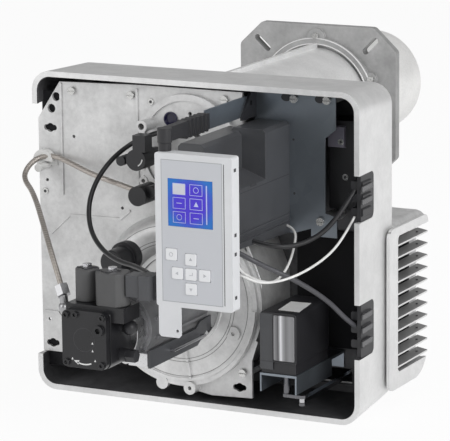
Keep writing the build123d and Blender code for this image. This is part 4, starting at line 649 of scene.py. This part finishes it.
class BURNER_OT_castings(DressOperator, bpy.types.Operator):
    """Dress the cast casing, base plate, fan cover, neck and flange"""

    bl_idname = "burner.castings"
    bl_label = "Castings"
    rows = (
        ("casing", "cast_casing", 1.2),
        ("base_plate", "cast_light", 0.5),
        ("volute_cover", "cover_casting", 0.6),
        ("scroll_housing", "cast_light", 0.6),
        ("neck", "neck_bright", 0.8),
        ("head_cover", "cast_light", 0.7),
        ("sight_glass", "sight_dark", 0.4),
        ("boiler_flange", "cast_flange", 1.0),
        ("flange_gasket", "fibre_gasket", 0.4),
        ("blast_tube", "tube_steel", 0.6),
        ("diffuser_disc", "tube_steel", 0.3),
        ("nozzle_rod", "screw_zinc", 0.4),
        ("ignition_electrodes", "screw_zinc", 0.3),
    )


class BURNER_OT_intake(DressOperator, bpy.types.Operator):
    """Dress the air intake, its louvres, the damper and its servo drive"""

    bl_idname = "burner.intake"
    bl_label = "Air intake"
    rows = (
        ("intake_housing", "cast_light", 1.5),
        ("intake_grille", "cast_casing", 0.4),
        ("intake_foam", "foam_black", 0.5),
        ("air_damper", "zinc", 0.3),
        ("damper_link", "chrome_bright", 0.4),
        ("servo_shaft", "steel_dark", 0.3),
        ("servo_body", "black_moulded", 1.0),
        ("servo_window", "window_chrome", 0.6),
        ("servo_bracket", "zinc", 0.4),
    )


class BURNER_OT_drive(DressOperator, bpy.types.Operator):
    """Dress the motor, the pump, the valves and the fittings"""

    bl_idname = "burner.drive"
    bl_label = "Motor and pump"
    rows = (
        ("motor_body", "motor_grey", 0.6),
        ("motor_shaft", "screw_zinc", 0.3),
        ("fan_wheel", "zinc", 0.0),
        ("motor_capacitor", "black_moulded", 1.2),
        ("pump_adapter", "turned_light", 0.8),
        ("pump_body", "pump_lacquer", 1.0),
        ("pump_cover", "pump_lacquer", 0.6),
        ("pump_plugs", "black_moulded", 0.5),
        ("coil_left", "coil_moulded", 1.0),
        ("coil_right", "coil_moulded", 1.0),
        ("coil_nuts", "chrome_bright", 0.5),
        ("coil_plug", "grey_moulded", 1.0),
        ("armature_left", "screw_zinc", 0.3),
        ("armature_right", "screw_zinc", 0.3),
        ("hose_fitting", "chrome_soft", 0.5),
        ("hose_saddle", "white_moulded", 0.5),
        ("nozzle_elbow", "black_moulded", 1.0),
        ("flame_sensor", "black_moulded", 1.0),
        ("support_arm", "grey_moulded", 0.5),
    )


class BURNER_OT_controls(DressOperator, bpy.types.Operator):
    """Dress the control box, the bracket, the display and the cable glands"""

    bl_idname = "burner.controls"
    bl_label = "Controls"
    rows = (
        ("control_box", "grey_moulded", 1.6),
        ("mounting_bracket", "zinc", 0.4),
        ("display_hinge", "black_moulded", 0.8),
        ("display_frame", "display_paint", 0.6),
        ("display_screen", "lit_blue", 0.2),
        ("key_info", "key_cap", 0.4),
        ("key_up", "key_cap", 0.4),
        ("key_left", "key_cap", 0.4),
        ("key_enter", "key_cap", 0.4),
        ("key_right", "key_cap", 0.4),
        ("key_down", "key_cap", 0.4),
        ("terminal_module", "black_moulded", 0.8),
        ("cable_glands", "black_moulded", 0.6),
        ("screws", "screw_zinc", 0.4),
    )

def socketed(name, node, finish, x, z, y, r):
    """Round screw head with a dark socket, facing the front."""
    prism(name, node, finish, "XZ", y, y - 1.2, disc(x, z, r, 20), 0.3)
    mark(name + "_socket", node, "seam_dark", y - 1.0, 0.35, disc(x, z, r * 0.5, 6))


def inside_casing(centre, normal):
    """Tells the faces that line the casing, which get painted shade, from those of its outside."""
    inward = (CASING_CORE.x - centre.x) * normal.x + (CASING_CORE.z - centre.z) * normal.z
    floor = normal.y < -0.7 and centre.y > 60.0
    wall = abs(normal.y) < 0.5 and 4.0 < centre.x < 436.5 and 4.0 < centre.z < 398.0
    return floor or (wall and inward > 0)


# Node, second finish, and the test on a face's centre and normal that picks it
PAINTED = (
    # The casing's inner faces get painted shade
    ("casing", "cast_shade", inside_casing),
    ("mounting_bracket", "black_moulded",
     lambda c, n: 284.4 < c.x < 287.6 and c.y < 34.0 and c.z > 355.0),
    # The intake's inward faces get painted shade
    ("intake_housing", "cast_shade", lambda c, n: (INTAKE_CORE - c).dot(n) > 0 and c.x < 427.5),
    # The louvres' tops get a darker grey, painted shade
    ("intake_grille", "louvre_top", lambda c, n: n.z > 0.7 and 45.0 < c.z < 221.0),
    # The louvres' undersides get painted shade
    ("intake_grille", "cast_shade", lambda c, n: n.z < -0.7 and 45.0 < c.z < 215.0),
    ("terminal_module", "violet_cap", lambda c, n: c.x < 394.3 and c.y < 62.0 and c.z > 323.0),
    ("support_arm", "chrome_bright", lambda c, n: c.x > 240.3),
    ("display_frame", "black_moulded", lambda c, n: c.z > 357.4),
    ("display_screen", "board_green", lambda c, n: c.y > -209.2),
)
# Node, finish and place of the socketed screws that the plate and the fan cover show
PLATE_SCREWS = (
    ("base_plate", "screw_zinc", 158.0, 370.5, PLATE_Y),
    ("base_plate", "screw_zinc", 8.1, 248.6, PLATE_Y),
    ("volute_cover", "seam_dark", 238.9, 97.2, 6.0),
)


class BURNER_OT_casting_details(bpy.types.Operator):
    """Paint shade on the casing's inside, set the louvre studs, the plate's screws and the dark ovals of
    painted shade in the bracket's keyholes
    """

    bl_idname = "burner.casting_details"
    bl_label = "Casting details"

    def execute(self, context):
        for node, finish, test in PAINTED:
            paint(node, finish, test)
        # Dark sheets behind the plate's left notches: painted shade for the dark inside seen through them
        for name, low, high in (("notch_shade", 236.0, 374.0), ("notch_shade_low", 26.0, 66.0)):
            prism(name, "base_plate", "foam_black", "XZ", 22.0, 19.0,
                  oblong(3.0, 40.0, low, high, 2.0), 0.3)
        repeat("louvre_studs", "intake_grille", "seam_dark", "round", (3.0, 3.0, 1.0),
               [(438.0, 175.0, LOUVRE_Z + 1.6 + LOUVRE_PITCH * i) for i in range(LOUVRES)])
        # Raised rims on the collar, coloured bright as painted highlights
        for name, r in (("collar_rim_highlight", 82.6), ("collar_lip_highlight", 75.4)):
            prism(name, "boiler_flange", "neck_bright", "XZ", 382.2, 380.8,
                  arc_band(AXIS_X, AXIS_Z, r, 1.5, -22, 202, 48), 0.3)
        heads = [polar(AXIS_X, AXIS_Z, 86.0, a) for a in (157, 90, 23)]
        repeat("collar_screws", "boiler_flange", "screw_zinc", "hex", (9.0, 9.0, 4.0),
               [(x, 380.5, z) for x, z in heads], (90, 0, 0), 0.4)
        # Dark ovals on the bracket: painted shade seen through its keyholes
        repeat("keyhole_shades", "mounting_bracket", "seam_dark", "round", (13.0, 9.5, 0.5),
               [(326.0, BRACKET_Y, 383.0), (370.2, BRACKET_Y, 383.4)], (90, 0, 0), 0.0)
        for i, (node, finish, x, z, y) in enumerate(PLATE_SCREWS):
            socketed("plate_screw_%d" % i, node, finish, x, z, y, 4.2)
        return {"FINISHED"}


# Node, middle of its round top, and the radius on which its clamps stand
COILS = (
    ("coil_left", (181.0, -190.0, 210.0), 10.0),
    ("coil_right", (214.0, -198.0, 211.0), 12.0),
)


class BURNER_OT_drive_details(bpy.types.Operator):
    """Set the pump's marks, the coils' clamps, the saddle and the servo's label"""

    bl_idname = "burner.drive_details"
    bl_label = "Drive details"

    def execute(self, context):
        mark("turn_arrow", "pump_cover", "mark_white", PUMP_Y, 0.2,
             arc_band(194.0, 128.0, 24.0, 1.6, 247, 292))
        mark("turn_arrow_head", "pump_cover", "mark_white", PUMP_Y, 0.2,
             [(180.0, 107.6), (186.0, 103.0), (187.4, 108.4)])
        ports = ((178.3, 109.6), (208.2, 109.6), (205.0, 130.0), (205.0, 121.0))
        for i, (x, z) in enumerate(ports):
            mark("port_mark_%d" % i, "pump_cover", "mark_white", PUMP_Y, 0.2,
                 [(x - 1.3, z - 1.2), (x + 1.3, z - 1.2), (x, z + 1.5)])
        mark("cover_seam", "pump_cover", "seam_dark", PUMP_Y + 0.02, 0.12,
             arc_band(194.0, 133.0, 14.0, 0.5, 0, 359))
        for node, (x, y, z), r in COILS:
            spots = [(*polar(x, y, r, a), z + 0.6) for a in (20, 110, 200, 290)]
            repeat(node + "_clamps", node, "seam_dark", "block", (4.0, 3.0, 1.4), spots, (0, 0, 20))
            prism(node + "_washer", node, "black_moulded", "XY", z - 0.1, z + 0.9,
                  disc(x, y, r - 2.6), 0.3)
        prism("saddle_dome", "hose_saddle", "white_moulded", "XZ", 13.0, 3.0,
              arc_band(11.0, 289.0, 7.0, 13.0, -4, 184), 0.6)
        prism("servo_label", "servo_body", "label_white", "XY", 140.0, 140.25,
              [(346.5, -27.0), (374.0, -27.0), (368.0, 19.5), (342.0, 17.5)], 0.0)
        prism("servo_side", "servo_body", "grey_moulded", "XZ", -39.9, -40.4,
              oblong(328.6, 345.5, 70.0, 138.0, 1.0), 0.2)
        mark("servo_seam", "servo_body", "seam_dark", -40.2, 0.4,
             oblong(328.4, 375.6, 79.5, 80.3, 0.2))
        mark("sensor_mark", "flame_sensor", "mark_white", -41.9, 0.4,
             arc_band(164.0, 312.0, 11.0, 1.5, -62, -8))
        repeat("capacitor_rings", "motor_capacitor", "seam_dark", "round", (38.4, 38.4, 0.8),
               [(158.0, -58.0, 193.0), (158.0, -54.5, 193.0)], (90, 0, 0))
        return {"FINISHED"}


# Width, height and line of the screen's tiles, and their lower left corners row by row
TILE_WIDE, TILE_HIGH, TILE_LINE = 15.5, 12.4, 0.55
TILES = [(x, z) for z in (310.6, 294.4, 278.2) for x in (304.6, 326.0)]
# Middle of each arrow key, and the angle in degrees that its arrow points to
ARROWS = {
    "key_up": (326.8, 236.8, 90),
    "key_left": (309.5, 219.7, 180),
    "key_right": (344.1, 219.7, 0),
    "key_down": (326.8, 202.6, 270),
}
# Outline of the return sign
RETURN_SIGN = [
    (329.4, 222.2), (329.4, 218.6), (324.6, 218.6), (324.6, 219.3), (328.7, 219.3), (328.7, 222.2),
]


def tile_sign(i, x, z):
    """Outline of a tile's plain sign: a ring, a bar and a triangle by turns."""
    signs = (
        arc_band(x, z, 3.2, 0.6, 0, 355),
        oblong(x - 3.4, x + 3.4, z - 0.4, z + 0.4, 0.3),
        [(x - 3, z - 2.6), (x + 3, z - 2.6), (x, z + 3)],
    )
    return signs[i % len(signs)]


class BURNER_OT_control_details(bpy.types.Operator):
    """Set the screen's tiles, the key symbols, the box's ribs and the module's screws"""

    bl_idname = "burner.control_details"
    bl_label = "Control details"

    def execute(self, context):
        y = GLASS_Y - 0.1
        rails = [(x + TILE_WIDE / 2, y, z + side) for x, z in TILES for side in (0, TILE_HIGH)]
        posts = [(x + side, y, z + TILE_HIGH / 2) for x, z in TILES for side in (0, TILE_WIDE)]
        repeat("tile_rails", "display_screen", "tile_line", "block",
               (TILE_WIDE + TILE_LINE, 0.24, TILE_LINE), rails, edge=0.0)
        repeat("tile_posts", "display_screen", "tile_line", "block",
               (TILE_LINE, 0.24, TILE_HIGH), posts, edge=0.0)
        (x, z), *others = TILES
        mark("tile_lit", "display_screen", "tile_fill", GLASS_Y, 0.15,
             oblong(x, x + TILE_WIDE, z, z + TILE_HIGH, 0.4))
        for i, (x, z) in enumerate(others):
            mark("tile_sign_%d" % i, "display_screen", "tile_line", GLASS_Y, 0.2,
                 tile_sign(i, x + TILE_WIDE / 2, z + TILE_HIGH / 2))
        mark("scroll_bar", "display_screen", "tile_line", GLASS_Y, 0.2,
             oblong(346.3, 347.7, 278.5, 323.0, 0.4))
        for key, (x, z, heading) in ARROWS.items():
            mark(key + "_sign", key, "key_mark", KEY_Y, 0.15,
                 [polar(x, z, 2.4, heading + a) for a in (0, 120, 240)])
        mark("key_enter_sign", "key_enter", "key_mark", KEY_Y, 0.15, RETURN_SIGN)
        mark("key_info_sign", "key_info", "key_mark", KEY_Y, 0.15,
             arc_band(302.0, 241.0, 2.2, 0.7, 0, 355))
        repeat("frame_clips", "display_frame", "seam_dark", "block", (0.4, 5.0, 4.0),
               [(379.1, -202.0, z) for z in (342.0, 268.0, 246.0, 196.0)])
        mark("frame_groove", "display_frame", "seam_dark", FRAME_Y, 0.15,
             oblong(368.6, 369.4, 187.0, 349.0, 0.3))
        repeat("box_ribs", "control_box", "grey_moulded", "block", (1.0, 145.0, 1.6),
               [(BOX_SIDE + 0.2, -36.0, z) for z in (232.0, 235.6, 239.2)], edge=0.4)
        prism("box_seam", "control_box", "seam_dark", "YZ", BOX_SIDE, BOX_SIDE + 0.3,
              oblong(-118.0, 38.0, 290.6, 291.4, 0.3), 0.0)
        prism("box_window", "control_box", "seam_dark", "YZ", BOX_SIDE, BOX_SIDE + 0.3,
              oblong(-66.0, -50.0, 293.5, 296.5, 0.6), 0.0)
        for i, (x, z, y) in enumerate(((389.3, 330.7, 59.0), (393.3, 287.6, 63.0))):
            socketed("module_screw_%d" % i, "terminal_module", "screw_zinc", x, z, y, 4.0)
        for i, z in enumerate((134.0, 117.5, 101.5, 288.0, 272.5)):
            prism("clamp_%d" % i, "cable_glands", "gland_gloss", "YZ", 440.0, 442.2,
                  [(4.0, z - 4.5), (33.0, z - 3.0), (33.0, z + 3.2), (4.0, z + 2.2)], 0.6)
        repeat("bracket_dots", "mounting_bracket", "seam_dark", "round", (3.0, 3.0, 0.4),
               [(335.5, BRACKET_Y, 332.6), (336.2, BRACKET_Y, 267.3)], (90, 0, 0), 0.0)
        return {"FINISHED"}


# Routes of the cables, the lead and the hose, in drawing sizes
SENSOR_ROUTE = (
    (268.0, -60.0, 340.0), (251.0, -54.0, 351.0), (235.0, -38.0, 355.0), (200.5, -18.0, 345.0),
    (167.5, -2.0, 334.0), (139.0, 0.0, 321.5), (118.5, -14.0, 303.0), (108.0, -36.0, 279.0),
    (111.0, -62.0, 253.5), (128.0, -88.0, 229.0), (155.0, -110.0, 213.0), (189.5, -132.0, 206.0),
    (228.5, -152.0, 207.0), (268.0, -187.0, 206.0),
)
BLACK_ROUTE = (
    (327.0, -60.0, 229.0), (348.0, -58.0, 224.0), (372.5, -42.0, 221.0), (398.5, -20.0, 232.5),
    (418.0, -2.0, 259.5), (431.0, 16.0, 290.0),
)
GREY_ROUTE = (
    (327.0, -104.0, 226.0), (346.0, -100.0, 217.0), (358.0, -86.0, 206.0), (386.0, -60.0, 187.0),
    (413.0, -28.0, 157.5), (424.0, -4.0, 131.0), (430.0, 16.0, 117.0),
)
WHITE_ROUTE = (
    (430.0, 16.0, 258.0), (421.0, -6.0, 227.0), (408.5, -36.0, 206.5), (385.5, -70.0, 191.0),
    (363.5, -104.0, 189.0), (346.0, -126.0, 203.0), (328.0, -146.0, 222.0), (320.0, -160.0, 243.0),
    (330.0, -170.0, 260.0), (347.0, -171.0, 254.0), (353.0, -160.0, 233.0), (353.0, -138.0, 210.0),
    (350.0, -84.0, 187.0), (355.0, -50.0, 179.0), (359.0, -26.0, 192.0), (355.0, 0.0, 210.0),
    (346.0, 26.0, 228.0), (327.0, 33.0, 230.0),
)
HOSE_ROUTE = (
    (147.0, -190.0, 181.0), (129.0, -178.0, 211.5), (95.0, -138.0, 236.0), (34.0, -58.0, 261.0),
    (4.0, -32.0, 272.0), (0.0, -16.0, 283.0), (6.0, 0.0, 293.0), (23.0, 9.0, 295.5),
    (48.0, 3.0, 290.0), (89.0, -12.0, 280.5), (135.0, -20.0, 272.0), (167.0, -25.0, 266.0),
)
# Name, route, diameter in millimetres, finish, length in metres and stiffness
CORDS = (
    ("sensor_cable", SENSOR_ROUTE, 6.0, "jacket_black", 0.4681, "medium"),
    ("black_cable", BLACK_ROUTE, 6.0, "jacket_black", 0.1611, "medium"),
    ("grey_cable", GREY_ROUTE, 6.0, "jacket_grey", 0.1983, "medium"),
    ("white_lead", WHITE_ROUTE, 3.0, "lead_white", 0.5454, "limp"),
    ("oil_hose", HOSE_ROUTE, 6.5, "hose_braid", 0.4464, "limp"),
)


def route_curve(name, route, diameter):
    """A round lead on one smooth line through its route's points."""
    curve = bpy.data.curves.new(name, "CURVE")
    curve.dimensions = "3D"
    curve.bevel_depth = diameter / 2 * MM
    curve.bevel_resolution = 5
    curve.resolution_u = 10
    spline = curve.splines.new("NURBS")
    spline.points.add(len(route) - 1)
    for point, place in zip(spline.points, route):
        point.co = (*at(*place), 1.0)
    spline.order_u = 3
    spline.use_endpoint_u = True
    return curve


class BURNER_OT_cords(bpy.types.Operator):
    """Lay the cables, the lead and the oil hose along their routes"""

    bl_idname = "burner.cords"
    bl_label = "Cables and hose"

    def execute(self, context):
        for node, route, diameter, finish, length, stiffness in CORDS:
            curve = route_curve(node + "_line", route, diameter)
            piece = linked(node + "_line", curve, finish)
            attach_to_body(piece, "burner")
            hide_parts(node)
            slot_of(node)
        return {"FINISHED"}


def white_when_seen(name, level):
    """A pale surface that the lens and the reflections see as white, and that still takes a shadow."""
    made = bpy.data.materials.new(name)
    made.use_nodes = True
    tree = made.node_tree
    tree.nodes.clear()
    out = tree.nodes.new("ShaderNodeOutputMaterial")
    mix = tree.nodes.new("ShaderNodeMixShader")
    diffuse = tree.nodes.new("ShaderNodeBsdfDiffuse")
    diffuse.inputs["Color"].default_value = (level, level, level, 1)
    glow = tree.nodes.new("ShaderNodeEmission")
    path = tree.nodes.new("ShaderNodeLightPath")
    seen = tree.nodes.new("ShaderNodeMath")
    seen.operation = "MAXIMUM"
    share = tree.nodes.new("ShaderNodeMath")
    share.operation = "MULTIPLY"
    share.inputs[1].default_value = FLOOR_GLOW
    tree.links.new(path.outputs["Is Camera Ray"], seen.inputs[0])
    tree.links.new(path.outputs["Is Glossy Ray"], seen.inputs[1])
    tree.links.new(seen.outputs[0], share.inputs[0])
    tree.links.new(share.outputs[0], mix.inputs["Fac"])
    tree.links.new(diffuse.outputs[0], mix.inputs[1])
    tree.links.new(glow.outputs[0], mix.inputs[2])
    tree.links.new(mix.outputs[0], out.inputs["Surface"])
    return made


def softbox(name, place, aim, size, power):
    """A rectangular lamp at a place in metres, turned to what it lights."""
    lamp = bpy.data.lights.new(name, "AREA")
    lamp.shape = "RECTANGLE"
    lamp.size, lamp.size_y = size
    lamp.energy = power
    holder = linked(name, lamp)
    holder.location = place
    holder.rotation_euler = (Vector(aim) - Vector(place)).to_track_quat("-Z", "Y").to_euler()


def aim_camera():
    """Camera fitted to the photograph's edges."""
    yaw, pitch, roll = (math.radians(v) for v in (CAMERA_YAW, CAMERA_PITCH, CAMERA_ROLL))
    level = Vector((math.cos(yaw), math.sin(yaw), 0.0))
    ahead = Vector((-math.sin(yaw), math.cos(yaw), 0.0))
    forward = ahead * math.cos(pitch) - Vector((0.0, 0.0, math.sin(pitch)))
    up = level.cross(forward)
    right = level * math.cos(roll) + up * math.sin(roll)
    up = up * math.cos(roll) - level * math.sin(roll)
    lens = bpy.data.cameras.new("camera")
    lens.lens = CAMERA_LENS
    lens.sensor_width = CAMERA_SENSOR
    lens.shift_x = CAMERA_SHIFT
    lens.clip_end = 60.0
    holder = linked("camera", lens)
    turn = Matrix((right, up, -forward)).transposed().to_4x4()
    turn.translation = at(*CAMERA_AT)
    holder.matrix_world = turn
    bpy.context.scene.camera = holder


class BURNER_OT_stage(bpy.types.Operator):
    """Set the floor, the softboxes, the world and the camera"""

    bl_idname = "burner.stage"
    bl_label = "Stage"

    def execute(self, context):
        settings = context.scene.burner
        mesh = bpy.data.meshes.new("floor")
        low, half = CAD_BOX[0][2] - MM, FLOOR_HALF
        corners = [(-half, -half, low), (half, -half, low), (half, half, low), (-half, half, low)]
        mesh.from_pydata(corners, [], [(0, 1, 2, 3)])
        mesh.materials.append(white_when_seen("floor_white", settings.floor_white))
        floor = linked("floor", mesh)
        softbox("key", (3.1, -1.9, 1.3), (0, -0.4, 0), (1.8, 1.6), settings.key_light)
        softbox("fill", (-2.4, -3.0, 1.2), (0, -0.4, 0), (2.0, 2.0), settings.fill_light)
        softbox("top", (0.9, -0.5, 3.0), (0, -0.2, 0), (1.8, 1.8), settings.top_light)
        world = bpy.data.worlds.new("studio")
        world.use_nodes = True
        context.scene.world = world
        tree = world.node_tree
        back = tree.nodes["Background"]
        path = tree.nodes.new("ShaderNodeLightPath")
        level = tree.nodes.new("ShaderNodeMapRange")
        level.inputs["To Min"].default_value = settings.sky
        level.inputs["To Max"].default_value = 1.0
        tree.links.new(path.outputs["Is Camera Ray"], level.inputs["Value"])
        tree.links.new(level.outputs[0], back.inputs["Strength"])
        back.inputs["Color"].default_value = (1, 1, 1, 1)
        context.scene.view_settings.view_transform = "Standard"
        aim_camera()
        return {"FINISHED"}


STEPS = (
    BURNER_OT_castings,
    BURNER_OT_intake,
    BURNER_OT_drive,
    BURNER_OT_controls,
    BURNER_OT_casting_details,
    BURNER_OT_drive_details,
    BURNER_OT_control_details,
    BURNER_OT_cords,
    BURNER_OT_stage,
)


class BURNER_PT_panel(bpy.types.Panel):
    """Sidebar panel with the light settings and the burner's steps"""

    bl_label = "Burner"
    bl_idname = "BURNER_PT_panel"
    bl_space_type = "VIEW_3D"
    bl_region_type = "UI"
    bl_category = "Burner"

    def draw(self, context):
        for field in ("key_light", "fill_light", "top_light", "sky", "floor_white"):
            self.layout.prop(context.scene.burner, field)
        for step in STEPS:
            self.layout.operator(step.bl_idname)


CLASSES = (BurnerSettings, *STEPS, BURNER_PT_panel)


def register():
    for cls in CLASSES:
        bpy.utils.register_class(cls)
    bpy.types.Scene.burner = bpy.props.PointerProperty(type=BurnerSettings)


def unregister():
    del bpy.types.Scene.burner
    for cls in reversed(CLASSES):
        bpy.utils.unregister_class(cls)


def main():
    """Registers the add-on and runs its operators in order."""
    register()
    for step in STEPS:
        group, name = step.bl_idname.split(".")
        getattr(getattr(bpy.ops, group), name)()


if __name__ == "__main__":
    main()
